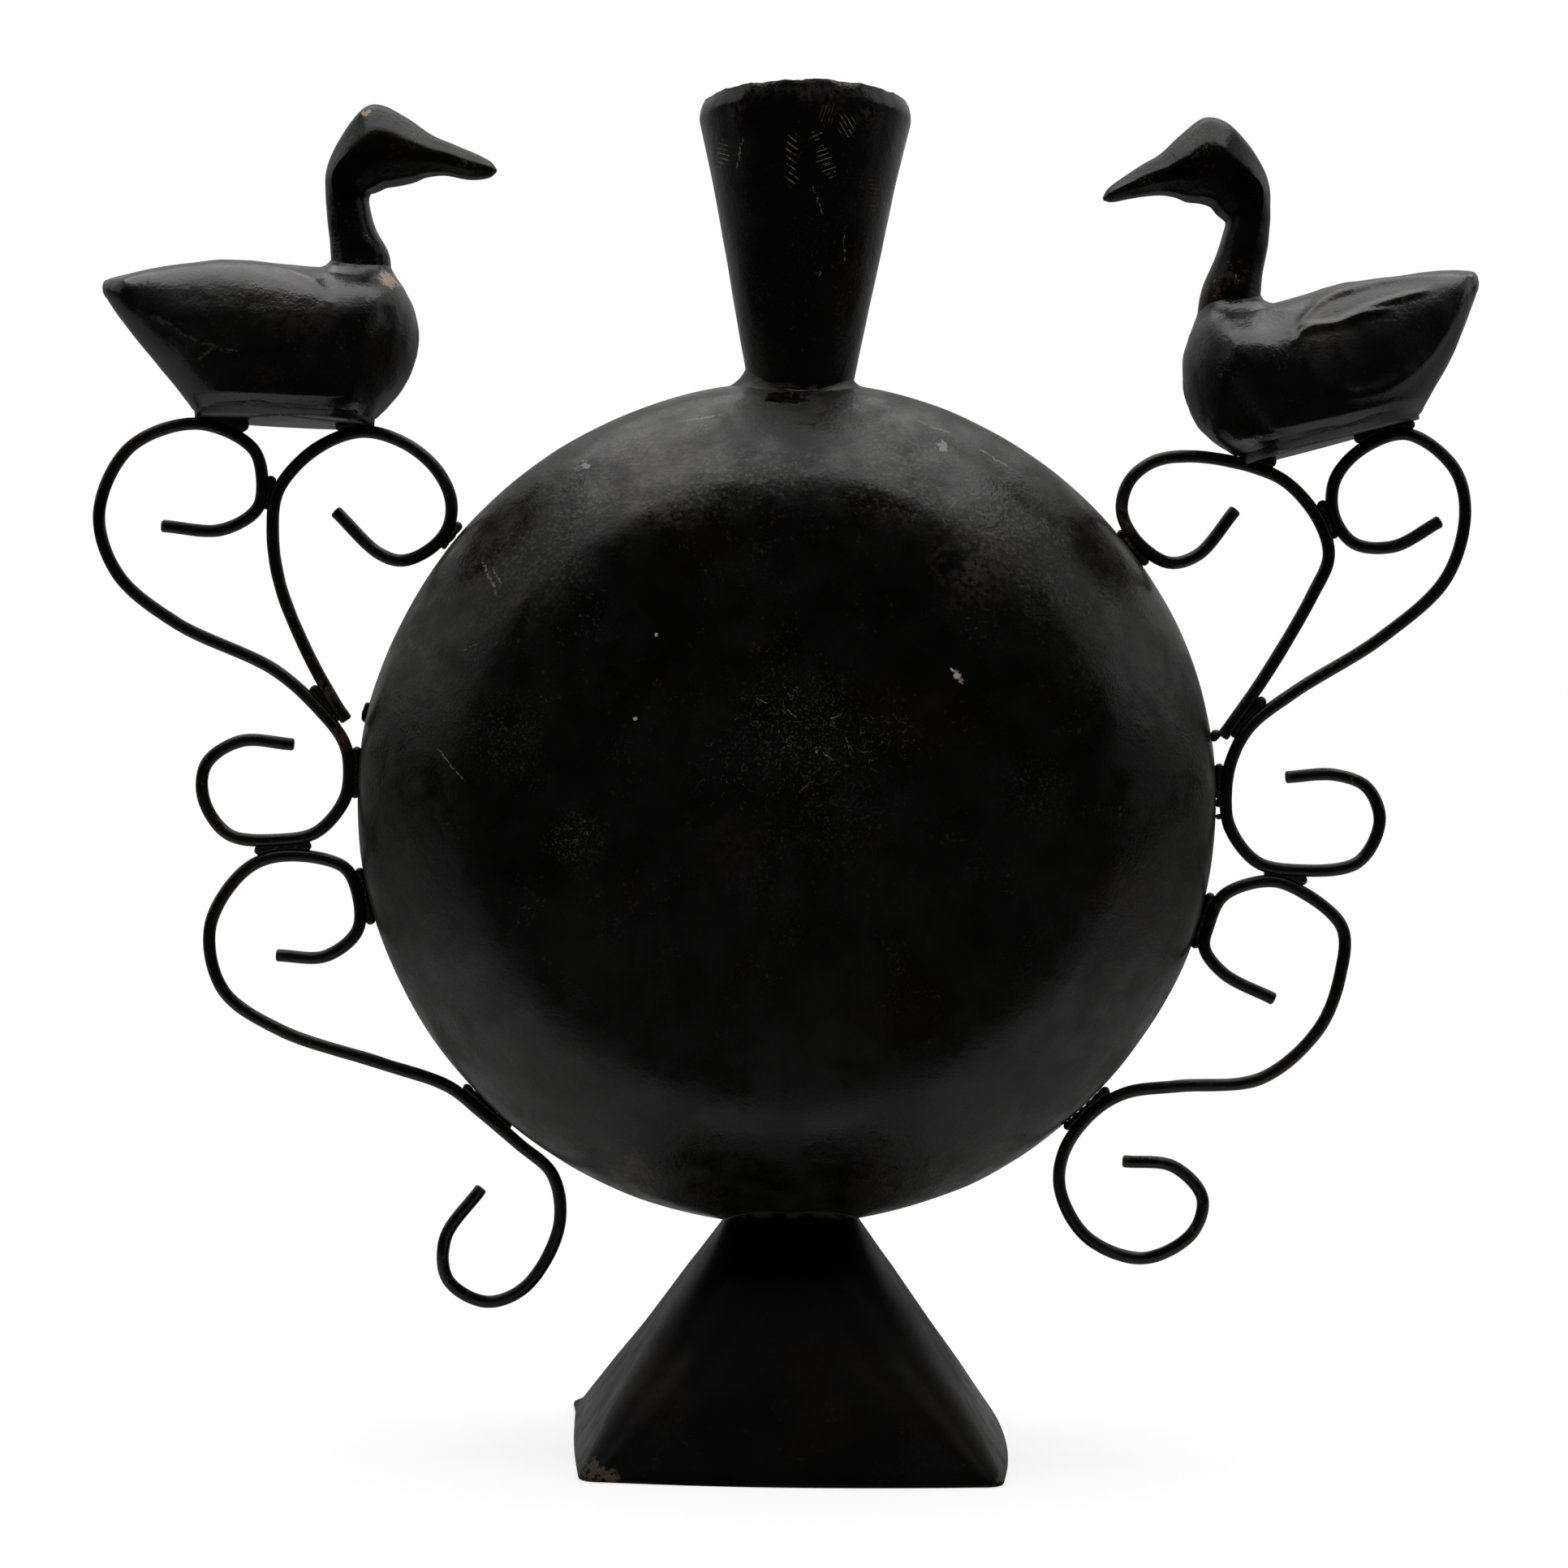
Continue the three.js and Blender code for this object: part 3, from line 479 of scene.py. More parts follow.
def worn_paint(name, marks, brown=0.6, rust=0.3, black=BLACK, grey=0.1, gloss=(0.24, 0.44), wear=0.5,
               relief=0.07, shine=0.5, scuff=0.3):
    """Black paint with brown clouds, dust, scuffs, rust specks and worn edges, and the marks of one piece."""
    paint = Paint(name, black)
    paint.lay(BROWN, brown, paint.patches(34, 0.45, 0.72, detail=4))
    paint.lay(GREY, grey, paint.patches(7, 0.5, 0.75, detail=5, shift=0.7))
    scuffs = paint.product(paint.patches(0.8, 0.58, 0.7, shift=6.1), paint.patches(15, 0.5, 0.65, shift=7.7))
    paint.lay(SCUFF, scuff, scuffs)
    paint.lay(RUST, rust, paint.patches(1.3, 0.62, 0.7, shift=1.3), paint.patches(22, 0.5, 0.62, shift=2.1))
    edges = paint.ramp(paint.add("NewGeometry", output="Pointiness"), 0.53, 0.6)
    paint.lay(WORN, wear, edges, paint.patches(4, 0.42, 0.6, shift=3.3))
    marks(paint)
    uneven = paint.math("ADD", paint.cloud(9, 5, shift=4.2), paint.cloud(30, 3, shift=16.3))
    roughness = paint.ramp(uneven, 0.75, 1.25, *gloss)
    roughness = paint.math("ADD", roughness, paint.math("MULTIPLY", scuffs, 0.15))
    grain = paint.math("ADD", paint.cloud(0.9, 2), paint.math("MULTIPLY", paint.cloud(5, 4, shift=5.1), 3.0))
    return paint.finish(roughness, grain, relief, shine)


# Marks on the body: x, height, radius and strength of scuffs, tints and fine hairs
SCUFFED = [
    (4, 181, 22, 0.5), (-52, 154, 10, 0.6), (-85, 106, 14, 0.5), (-23, 258, 10, 0.9), (-41, 251, 9, 0.8),
    (37, 253, 9, 0.9), (24, 260, 9, 0.8), (12, 160, 18, 0.25), (60, 168, 14, 0.25), (-70, 180, 16, 0.3),
]
TINTED = {
    TAN: [(44, 222, 15, 0.9), (22, 71.5, 9, 0.4)],
    DARK_RED: [(-14, 152, 14, 0.8), (88, 140, 12, 0.6), (24, 236, 9, 0.8)],
    RUST: [(-14.5, 266.8, 4, 0.8)],
    REDDISH: [(-32, 242, 18, 0.8), (-39, 72, 9, 0.9)],
    OLIVE: [
        (-64, 214, 12, 0.5), (-80, 226, 18, 1.0), (-92, 200, 14, 0.8), (30, 67.5, 9, 0.8), (42, 71, 10, 0.7),
        (80, 208, 14, 0.5),
    ],
}
HAIRED = [
    (2, 180, 24, 0.6), (20, 178, 16, 0.5), (-12, 172, 16, 0.4), (-50, 155, 12, 0.35), (40, 246, 16, 0.4),
    (-28, 248, 16, 0.4),
]
# Scratches: both ends and the width. Chips: x, height and radius.
BODY_SCRATCHES = [
    ((-76.5, 223), (-72, 214), 0.8), ((-73.5, 221), (-71, 216.5), 0.5), ((-86, 176), (-79, 168), 0.35),
    ((-1, 187), (2, 184.5), 0.3), ((10, 184), (13, 185.5), 0.3), ((7, 177), (11, 174), 0.3),
    ((14, 180), (14.6, 177), 0.3), ((-8, 189), (-5, 187.5), 0.35), ((-80, 200), (-76, 202), 0.25),
    ((31, 259.5), (40, 256), 0.4), ((46, 253), (54, 248), 0.4), ((-30, 258), (-17, 260), 0.4),
]
BODY_CHIPS = {
    PALE: [(-32.5, 204.1, 0.75), (41, 195.2, 0.9), (39.8, 196.4, 0.6), (-37.2, 183.5, 0.45)],
    BLACK: [(-64.3, 236.4, 1.4)],
    BARE: [(41.6, 193.8, 0.8)],
    SCRATCH: [(-51.4, 247, 1.0), (37.5, 252.5, 1.5), (7, 176, 0.4)],
}


def body_marks(paint):
    """Dust towards the rim, a greyer lower half in streaks of haze and painted floor reflection, scuffs,
    scratches and chips.
    """
    from_middle = paint.away(0, BODY_CENTRE)
    rim = paint.ramp(from_middle, 84 * MM, 107 * MM)
    paint.lay(OLIVE, 0.35, rim, paint.patches(6, 0.4, 0.68, detail=5, shift=8.3))
    # Grey streaks, greyer towards the bottom: partly grey haze, partly painted reflection of the pale floor.
    low = paint.ramp(paint.height, 190 * MM, 90 * MM)
    paint.lay(GREY, 0.55, low, paint.patches(16, 0.35, 0.65, detail=4, shift=9.1, stretch=5))
    outer, inner = paint.ramp(from_middle, 68 * MM, 80 * MM), paint.ramp(from_middle, 104 * MM, 92 * MM)
    upper = paint.ramp(paint.height, 190 * MM, 240 * MM)
    rubbed = paint.patches(1.1, 0.5, 0.64, detail=4, shift=11.2)
    paint.lay(SCUFF, 0.6, outer, inner, upper, rubbed, paint.patches(18, 0.42, 0.6, shift=12.4))
    paint.lay(SCUFF, 1.0, paint.glows(SCUFFED), paint.patches(0.7, 0.55, 0.64, detail=4, shift=21.5))
    coarse = paint.patches(5, 0.36, 0.62, detail=4, shift=22.6)
    ragged = paint.product(coarse, paint.patches(1.3, 0.36, 0.6, detail=4, shift=34.8))
    for tint, places in TINTED.items():
        paint.lay(tint, 1.0, paint.glows(places), ragged)
    paint.lay(SCRATCH, 1.0, paint.glows(HAIRED), paint.hairs(4, 23.7))
    paint.lay(SCRATCH, 0.6, paint.scratches(BODY_SCRATCHES))
    for tint, places in BODY_CHIPS.items():
        paint.lay(tint, 0.9, paint.spots(places, grain=1.2))


NECK_RUST = [(9, 338, 6), (3, 338.5, 4), (18, 335, 5), (-15, 336, 4), (-15, 267, 3)]
# Columns of scratches: x, height, width, their own height, slope and spacing
NECK_HATCHES = {
    SCRATCH: [
        (-18.2, 326.1, 2.6, 6, -25, 1), (-0.7, 322.9, 2.6, 13, -35, 1.4), (5, 328.8, 2.6, 2, 25, 1),
        (7.2, 324.4, 3.2, 4.3, 20, 1.1), (8.5, 321, 3.4, 3.6, 22, 1), (12.7, 331.6, 4.2, 5.5, -55, 1.1),
    ],
    WORN: [(7.8, 333.9, 3.4, 4.4, 70, 0.8)],
    RUST: [(19.4, 316.5, 2.8, 8.5, 8, 1)],
}
NECK_SCRATCHES = [
    ((-12.8, 329.3), (-15, 321.1), 0.45), ((4.2, 317), (7, 310), 0.45), ((12.7, 307.5), (12.5, 298.9), 0.45),
    ((6.7, 297.3), (6.3, 294.3), 0.45),
]


def neck_marks(paint):
    """Columns of short scratches round the mouth, dotted scratches below them, and rust at the rim."""
    paint.lay(RUST_BROWN, 0.8, paint.glows(NECK_RUST), paint.patches(1.3, 0.44, 0.6, detail=4, shift=24.8))
    for tint, columns in NECK_HATCHES.items():
        paint.lay(tint, 0.75, paint.hatches(columns))
    paint.lay(SCRATCH, 0.8, paint.scratches(NECK_SCRATCHES, grain=0.6, low=0.5))
    # A paler band round the mouth: partly dust on the rim, partly a painted highlight of its rolled edge.
    mouth = BODY_TOP + NECK_HEIGHT
    rim = paint.ramp(paint.height, (mouth - 7) * MM, (mouth - 1) * MM)
    paint.lay(PINKISH, 0.55, rim, paint.patches(2.5, 0.4, 0.66, detail=5, shift=13.1))


def foot_marks(paint):
    """Bare metal at the lower corners, a rubbed left side and a reddish patch on the front."""
    left = paint.ramp(paint.measure(-47, 0, 0), 2, -4)
    low = paint.ramp(paint.height, 32 * MM, 12 * MM)
    paint.lay(PINKISH, 0.6, left, low, paint.patches(6, 0.3, 0.6, detail=5, shift=14.2))
    paint.lay(DARK_RED, 0.45, paint.glow(-31, 20, 13), paint.patches(4, 0.35, 0.6, shift=15.3))
    paint.lay(FADED_TAN, 0.9, paint.spots([(-44.5, 2.6, 2.2), (-40.5, 1.4, 1.7), (53, 2, 0.9)]))
    paint.lay(RUST, 0.5, paint.spots([(-42, 1.6, 0.5), (-45, 3, 0.4)]))
    front_ridge = paint.ramp(paint.depth, -37 * MM, -33 * MM, 1.0, 0.0)
    paint.lay(SCRATCH, 0.9, front_ridge, paint.scratches([((-40.4, 20.4), (-43.6, 13), 0.9)]))


# Scratches along the lower edge of the left duck's wing, and marks of both ducks
WING_SCRATCHES = [
    ((-161, 283.8), (-153.5, 279.8), 1.1), ((-154.5, 280.4), (-147.5, 276.5), 0.9),
    ((-148, 276.6), (-137.5, 273.5), 0.9), ((-148.7, 272), (-144, 275.2), 0.8),
]
DUCK_CHIPS = [(-101.9, 294.2, 1.9), (-103.4, 295.6, 1.1), (-108.7, 337.1, 1)]
DUCK_HAIRS = [(109, 273, 6), (112, 284, 7)]
DUCK_SCUFFS = [
    (-113, 331, 5), (-105, 338, 6), (-96, 332, 6), (-82, 325, 5), (-110, 297, 4, 0.6),
    (114, 341, 6), (102, 332, 6), (89, 323, 4), (136, 296, 10, 0.5), (150, 292, 8, 0.5),
]
DUCK_REDS = [(-126, 287, 13), (-119, 284, 9), (-131, 268, 7, 0.6), (132, 284, 10)]
DUCK_RUST = [(110.8, 298.4, 5), (106, 294.9, 4)]
ROD_RUST = [(84.6, 236.8, 6), (-118.3, 190.9, 6), (-113, 179.6, 6), (92, 162, 6), (-70, 84, 5)]
WELD_RUST = [(-112.7, 256.7, 5), (-84.5, 231.5, 5), (86, 232, 5), (-94, 108, 5)]


def duck_marks(paint):
    """Chips on the left duck, reddish patches on the wings, and rust on the right duck's neck."""
    paint.lay(BARE, 0.9, paint.spots(DUCK_CHIPS))
    paint.lay(SCRATCH, 0.4, paint.glows(DUCK_HAIRS), paint.hairs(3, 31.5))
    paint.lay(SCUFF, 0.45, paint.scratches(WING_SCRATCHES))
    paint.lay(SCUFF, 0.7, paint.glows(DUCK_SCUFFS), paint.patches(0.6, 0.52, 0.64, detail=4, shift=33.7))
    paint.lay(DARK_RED, 1.0, paint.glows(DUCK_REDS), paint.patches(3, 0.34, 0.6, shift=25.9))
    paint.lay(PINKISH, 0.5, paint.glow(134, 291, 11), paint.patches(4, 0.36, 0.6, shift=32.6))
    rusted = paint.glows(DUCK_RUST)
    paint.lay(RUST, 0.4, rusted, paint.patches(1.8, 0.42, 0.6, shift=27.1))
    paint.lay(PALE, 0.5, rusted, paint.patches(0.8, 0.64, 0.7, shift=28.2))


def rod_marks(paint):
    """Rust where paint has come off the rods."""
    paint.lay(RUST, 0.9, paint.glows(ROD_RUST), paint.patches(1.5, 0.4, 0.56, shift=29.3))


def weld_marks(paint):
    """Rust at the left duck's front weld and at the welds on the rim."""
    paint.lay(RUST, 0.9, paint.glows(WELD_RUST), paint.patches(1.2, 0.4, 0.56, shift=30.4))


DUCK_FINISH = {"gloss": (0.2, 0.36), "wear": 0.35, "scuff": 0.1}
body_paint = worn_paint("body_paint", body_marks, black=OLIVE_BLACK, gloss=(0.22, 0.5), relief=0.06)
neck_paint = worn_paint("neck_paint", neck_marks, rust=0.35, gloss=(0.16, 0.32), shine=0.65, scuff=0.12)
foot_paint = worn_paint("foot_paint", foot_marks, brown=0.5, rust=0.1, grey=0.05, gloss=(0.3, 0.42),
                        relief=0.02, shine=0.07, scuff=0.06)
rod_paint = worn_paint("rod_paint", rod_marks, brown=0.8, rust=0.8, gloss=(0.25, 0.45))
weld_metal = worn_paint("weld_metal", weld_marks, brown=0.9, rust=0.8, gloss=(0.35, 0.55))
duck_paint = worn_paint("duck_paint", duck_marks, shine=0.8, **DUCK_FINISH)
head_paint = worn_paint("head_paint", duck_marks, shine=0.32, **DUCK_FINISH)


# Round body

def outline_of_body():
    """Radius, depth and slope of the sheet from the middle of a face to the rim."""
    rows = [(0.0, 0.0, 0.0)]
    turned = 0
    for length, end, steps in BODY_OUTLINE:
        for step in range(steps):
            slope = math.radians(turned + (end - turned) * (step + 0.5) / steps)
            radius, drop, _ = rows[-1]
            after = math.radians(turned + (end - turned) * (step + 1) / steps)
            step_length = length / steps
            rows.append((radius + step_length * math.cos(slope), drop + step_length * math.sin(slope), after))
        turned = end
    rows = np.array(rows)
    rows[:, 0] *= BODY_WIDTH / 2 / rows[-1, 0]
    rows[:, 1] = SEAM / 2 + (BODY_DEPTH - SEAM) / 2 * (1 - rows[:, 1] / rows[-1, 1])
    return rows


body_outline = outline_of_body()


def body_depth(x, z):
    """Half the depth of the body at a place seen from the front, and less than 0 outside its rim."""
    radius = math.hypot(x, (z - BODY_CENTRE) * BODY_WIDTH / BODY_HEIGHT)
    if radius > BODY_WIDTH / 2:
        return BODY_WIDTH / 2 - radius
    return np.interp(radius, body_outline[:, 0], body_outline[:, 1])


def body_top(x, y):
    """Height of the body's upper side at a place seen from above."""
    radius = np.interp(abs(y), body_outline[::-1, 1], body_outline[::-1, 0])
    reach = radius * (1 + body_wobble(math.acos(x / radius)) / (BODY_WIDTH / 2))
    return BODY_CENTRE + BODY_HEIGHT / BODY_WIDTH * math.sqrt(reach**2 - x**2)


def body_wobble(turn):
    """How far the rim lies outside a true oval."""
    wobble = 0
    for bearing, width, height in BODY_WOBBLES:
        away = math.remainder(turn - math.radians(bearing), 2 * math.pi)
        wobble += height * math.exp(-((away / math.radians(width)) ** 2))
    return wobble


def body_shell(side):
    """One half of the body, with its hollow. The side is -1 for the front and 1 for the rear."""
    outer = body_outline[:, :2]
    slopes = body_outline[:, 2:]
    inner = outer - SHEET * np.hstack([np.sin(slopes), np.cos(slopes)])
    inner[:, 1] = np.maximum(inner[:, 1], SEAM / 2)
    profile = np.vstack([outer, inner[::-2]])
    turns = turns_of(BODY_COLUMNS)
    oval = BODY_HEIGHT / BODY_WIDTH
    points = []
    for radius, depth in profile:
        for turn in turns:
            share = radius / (BODY_WIDTH / 2)
            reach = radius + share * body_wobble(turn)
            height = BODY_CENTRE + oval * reach * math.sin(turn)
            points.append((reach * math.cos(turn), side * depth, height))
    return mesh_through(np.array(points).reshape(-1, BODY_COLUMNS, 3), "open")


def neck_radius(level):
    """The neck's outer radius at a height above the top of the body."""
    slope = (NECK_MOUTH_DIAMETER - NECK_BASE_DIAMETER) / 2 / NECK_HEIGHT
    return NECK_BASE_DIAMETER / 2 + slope * level


def neck_point(turn, level, grow):
    radius = neck_radius(level) + grow
    middle = NECK_OFFSET + NECK_LEAN * level / NECK_HEIGHT
    return middle + radius * math.cos(turn), radius * math.sin(turn), BODY_TOP + level


def neck_bore():
    turns = turns_of(NECK_COLUMNS)
    ends = (-NECK_BORE_DEPTH, NECK_HEIGHT)
    rings = np.array([[neck_point(turn, level, -SHEET) for turn in turns] for level in ends])
    return mesh_through(rings)


def gap_bore():
    """The space of the ragged hole in front of the neck's root."""
    outline = []
    for turn in turns_of(GAP_COLUMNS):
        place = Vector((2 * math.cos(turn), 2 * math.sin(turn), 7.5))
        ragged = 1 + waves_at(place, GAP_WAVES)
        x = GAP_CENTRE[0] + ragged * GAP_REACH[0] * math.cos(turn)
        outline.append((x, GAP_CENTRE[1] + ragged * GAP_REACH[1] * math.sin(turn)))
    rings = np.array([[(x, y, level) for x, y in outline] for level in GAP_LEVELS])
    return mesh_through(rings)


for side, half in ((-1, "front"), (1, "rear")):
    shell = without(body_shell(side), neck_bore())
    if half == "front":
        shell = without(shell, gap_bore())
    dent(shell, BODY_DENTS)
    add_piece(f"{half}_half_of_body", shell, body_paint, [f"body_{half}_shell"])


# Neck

def meets_body(point_at, outside, inside):
    """How far along a line it enters the body, between a place outside it and one inside it."""
    for _ in range(30):
        middle = (outside + inside) / 2
        x, y, z = point_at(middle)
        if abs(y) < body_depth(x, z):
            inside = middle
        else:
            outside = middle
    return inside


def slit(turn):
    """1 in the middle of the slit that the weld leaves open at the front, and 0 away from it."""
    away = math.remainder(turn - math.radians(SLIT_BEARING), 2 * math.pi)
    return math.exp(-((away / math.radians(SLIT_HALF_WIDTH)) ** 2))


def rim_curl(level, top):
    """How far the rim of the mouth turns inwards at a level."""
    share = min(1, max(0, 1 - (top - level) / CURL_HEIGHT))
    return -CURL_DEPTH * share**CURL_POWER


def neck_mesh():
    """The neck's sheet, and the levels at which its outside meets the body."""
    shares = np.concatenate([np.linspace(0, 0.9, NECK_ROWS), np.linspace(0.9, 1, RIM_ROWS)[1:]])
    points = []
    roots = []
    for turn in turns_of(NECK_COLUMNS):
        place = Vector((3 * math.cos(turn), 3 * math.sin(turn), 0.5))
        top = NECK_HEIGHT - RIM_TILT * (1 + math.sin(turn)) - RIM_DIP * math.cos(turn) ** 2
        top += waves_at(place, RIM_WAVES)
        flare = MOUTH_FLARE + FLARE_WAVE * noise.noise(place / 2 + Vector((4, 0, 0)))
        root = meets_body(lambda level: neck_point(turn, level, 0), *NECK_ROOT_LEVELS)
        inner_root = meets_body(lambda level: neck_point(turn, level, -SHEET), *NECK_ROOT_LEVELS)
        roots.append(root)
        low = root + SLIT_HEIGHT * slit(turn)
        column = []
        for share in shares:
            level = low + share * (top - low)
            column.append(neck_point(turn, level, flare * share**3 + rim_curl(level, top)))
        edge = flare - CURL_DEPTH
        column.extend(neck_point(turn, top - drop, edge - share * SHEET) for drop, share in RIM_EDGE)
        inner_low = inner_root + SLIT_HEIGHT * slit(turn)
        for share in shares[-3::-2]:
            level = inner_low + share * (top - 1 - inner_low)
            column.append(neck_point(turn, level, flare * share**3 + rim_curl(level, top) - SHEET))
        points.append(column)
    return mesh_through(np.array(points), "joined"), roots


def fillet_ring(upper, corner, lower, out):
    """A section of a hollow-faced weld. It reaches into both surfaces that it joins."""
    face = arc(upper, (2 * corner + upper + lower) / 4, lower, FILLET_STEPS)
    deep, less = FILLET_ROOT
    return np.vstack([face, lower, lower - deep * UP, corner - deep * out - less * UP, upper - less * out])


def neck_fillet(roots):
    """The weld between the neck and the body: wide on the left, thin at the front and open at the slit."""
    rings = []
    for turn, root in zip(turns_of(NECK_COLUMNS), roots):
        out = np.array([math.cos(turn), math.sin(turn), 0])
        lump = 1 + FILLET_LUMP * noise.noise(Vector((4 * out[0], 4 * out[1], 2)))
        left = max(0, -out[0]) ** 2
        right = max(0, out[0]) ** 2
        thin = FILLET_FRONT + (1 - FILLET_FRONT) * abs(out[0])
        size = FILLET_SIZE + left * FILLET_LEFT_EXTRA + right * FILLET_RIGHT_EXTRA
        size *= thin * lump * (1 - FILLET_OPEN * slit(turn))
        x, y, _ = out * (neck_radius(root) + (1 + FILLET_SPREAD * (left + right)) * size)
        lower = np.array([NECK_OFFSET + x, y, body_top(NECK_OFFSET + x, y) - FILLET_SINK])
        upper = np.array(neck_point(turn, root + size, -FILLET_LIP / 2))
        rings.append(fillet_ring(upper, np.array(neck_point(turn, root, FILLET_LIP)), lower, out))
    return mesh_through(np.array(rings), "joined")


def arc(start, corner, end, steps):
    """A quadratic curve without its last point."""
    shares = np.arange(steps)[:, None] / steps
    return (1 - shares) ** 2 * start + 2 * shares * (1 - shares) * corner + shares**2 * end


def bead(path, radius, seed):
    """A lumpy weld bead along a closed path."""
    ahead = np.roll(path, -1, axis=0) - np.roll(path, 1, axis=0)
    ahead /= np.linalg.norm(ahead, axis=1)[:, None]
    out = path - path.mean(axis=0)
    out -= ahead * (out * ahead).sum(axis=1)[:, None]
    out /= np.linalg.norm(out, axis=1)[:, None]
    up = np.cross(out, ahead)
    lumps = [share * rough(path, wavelength, seed + i) for i, (wavelength, share) in enumerate(BEAD_WAVES)]
    thick = radius * (1 + sum(lumps))
    rings = [
        path + thick[:, None] * (math.cos(turn) * out + math.sin(turn) * up)
        for turn in turns_of(BEAD_SIDES)
    ]
    return mesh_through(np.stack(rings, axis=1), "joined")


def evenly(path, step):
    """A closed path with its points spread evenly."""
    closed = np.vstack([path, path[:1]])
    length = np.concatenate([[0], np.cumsum(np.linalg.norm(np.diff(closed, axis=0), axis=1))])
    places = np.linspace(0, length[-1], round(length[-1] / step), endpoint=False)
    return np.stack([np.interp(places, length, closed[:, axis]) for axis in range(3)], axis=1)


neck_tube, neck_roots = neck_mesh()
dent(neck_tube, NECK_DENTS)
add_piece("flared_neck", neck_tube, neck_paint, ["neck_tube"])
neck_weld = neck_fillet(neck_roots)
dent(neck_weld, NECK_WELD_DENTS)
add_piece("weld_round_neck", neck_weld, weld_metal, ["neck_weld"])


# Foot

def foot_ring(height, grow=0.0):
    """A level cut through the foot at a height above the floor, grown outwards."""
    share = height / FOOT_HEIGHT
    ridge = np.interp(share, *zip(*FOOT_RIDGES))
    grow = grow + np.interp(share, *zip(*FOOT_SWELLS))
    corners = []
    for (x, y), (out_x, out_y) in zip(FOOT_CORNERS, FOOT_OUTWARDS):
        top_x = FOOT_OFFSET + out_x * FOOT_TOP_WIDTH / 2
        top_y = out_y * FOOT_TOP_DEPTH / 2
        corners.append(np.array([
            x + share * (top_x - x) + out_x * grow,
            y + share * (top_y - y) + out_y * grow,
        ]))
    outline = []
    for i, corner in enumerate(corners):
        before, after = corners[i - 1], corners[(i + 1) % 4]
        along = (after - corner) / np.linalg.norm(after - corner)
        back = (before - corner) / np.linalg.norm(before - corner)
        departure = corner + ridge * along
        next_arrival = after - ridge * along
        outwards = np.array([along[1], -along[0]]) * 2 * FOOT_BULGES[i] * (1 - share)
        bow = (departure + next_arrival) / 2 + outwards
        outline.append(arc(corner + ridge * back, corner, departure, RIDGE_STEPS))
        outline.append(arc(departure, bow, next_arrival, SIDE_STEPS))
    outline = np.vstack(outline)
    return np.column_stack([outline, np.full(len(outline), float(height))])


def foot_wall(grow, low):
    """Rows of points up a side of the foot's sheet, from a height to where it meets the body."""
    heights = np.linspace(low, FOOT_HEIGHT + FOOT_OVERLAP, FOOT_LEVELS)
    rings = np.array([foot_ring(height, grow) for height in heights])
    rows = np.empty((FOOT_ROWS, rings.shape[1], 3))
    for column in range(rings.shape[1]):
        line = rings[:, column]
        depth = np.array([body_depth(x, z) - abs(y) for x, y, z in line])
        first = np.argmax(depth > 0)
        end = np.interp(0, depth[first - 1:first + 1], heights[first - 1:first + 1])
        levels = np.linspace(low, end, FOOT_ROWS)
        rows[:, column] = np.stack([np.interp(levels, heights, line[:, axis]) for axis in range(3)], axis=1)
    return rows


def foot_mesh():
    """The foot's sheet with its hem, and the line along which its outside meets the body."""
    outside = foot_wall(0, FOOT_ROUNDING)
    inside = foot_wall(-FOOT_WALL, SHEET)
    rounding = []
    for angle in np.radians(FOOT_ROUNDING_ANGLES):
        height = FOOT_ROUNDING * (1 - math.cos(angle))
        rounding.append(foot_ring(height, -FOOT_ROUNDING * (1 - math.sin(angle))))
    hem = [foot_ring(0, -FOOT_ROUNDING), foot_ring(0, -FOOT_HEM), foot_ring(SHEET, -FOOT_HEM)]
    rows = np.concatenate([outside[::-1], rounding, hem, inside])
    return mesh_through(rows, "joined"), outside[-1]


foot_shell, foot_top = foot_mesh()
dent(foot_shell, FOOT_DENTS)
foot_points = coordinates(foot_shell)
bent = np.clip(1 - np.linalg.norm(foot_points - FOOT_EAR, axis=1) / FOOT_EAR_REACH, 0, 1) ** FOOT_EAR_POWER
foot_points += bent[:, None] * FOOT_EAR_BEND
foot_points[:, 2] = np.maximum(foot_points[:, 2], FLOOR)
set_coordinates(foot_shell, foot_points)
add_piece("foot", foot_shell, foot_paint, ["foot_shell"])
foot_seam = evenly(foot_top, FOOT_BEAD_STEP)
foot_bead_radius = np.full(len(foot_seam), FOOT_BEAD_RADIUS)
for corner in FOOT_WELD_LUMPS:
    away = np.linalg.norm(foot_seam - corner, axis=1)
    foot_bead_radius += FOOT_LUMP_HEIGHT * np.exp(-((away / FOOT_LUMP_REACH) ** 2))
foot_bead = bead(foot_seam, foot_bead_radius, FOOT_BEAD_SEED)
add_piece("weld_round_foot", foot_bead, weld_metal, ["foot_weld"])


# Scrolls

def at(bearing, reach):
    """A place beside the body: its bearing from the right, anticlockwise, and its distance from the rim."""
    angle = math.radians(bearing)
    edge = 1 / math.hypot(math.cos(angle) / (BODY_WIDTH / 2), math.sin(angle) / (BODY_HEIGHT / 2))
    distance = edge + reach
    return np.array([distance * math.cos(angle), 0, BODY_CENTRE + distance * math.sin(angle)])


def on_rim(bearing):
    return at(bearing, ROD_SPACING + ROD_RADIUS)


def join(bearing, reach, direction):
    """The middles of two rods welded side by side, and the middle between them."""
    angle = math.radians(direction)
    step = (ROD_RADIUS + ROD_SPACING / 2) * np.array([math.cos(angle), 0, math.sin(angle)])
    middle = at(bearing, reach)
    return middle - step, middle + step, middle


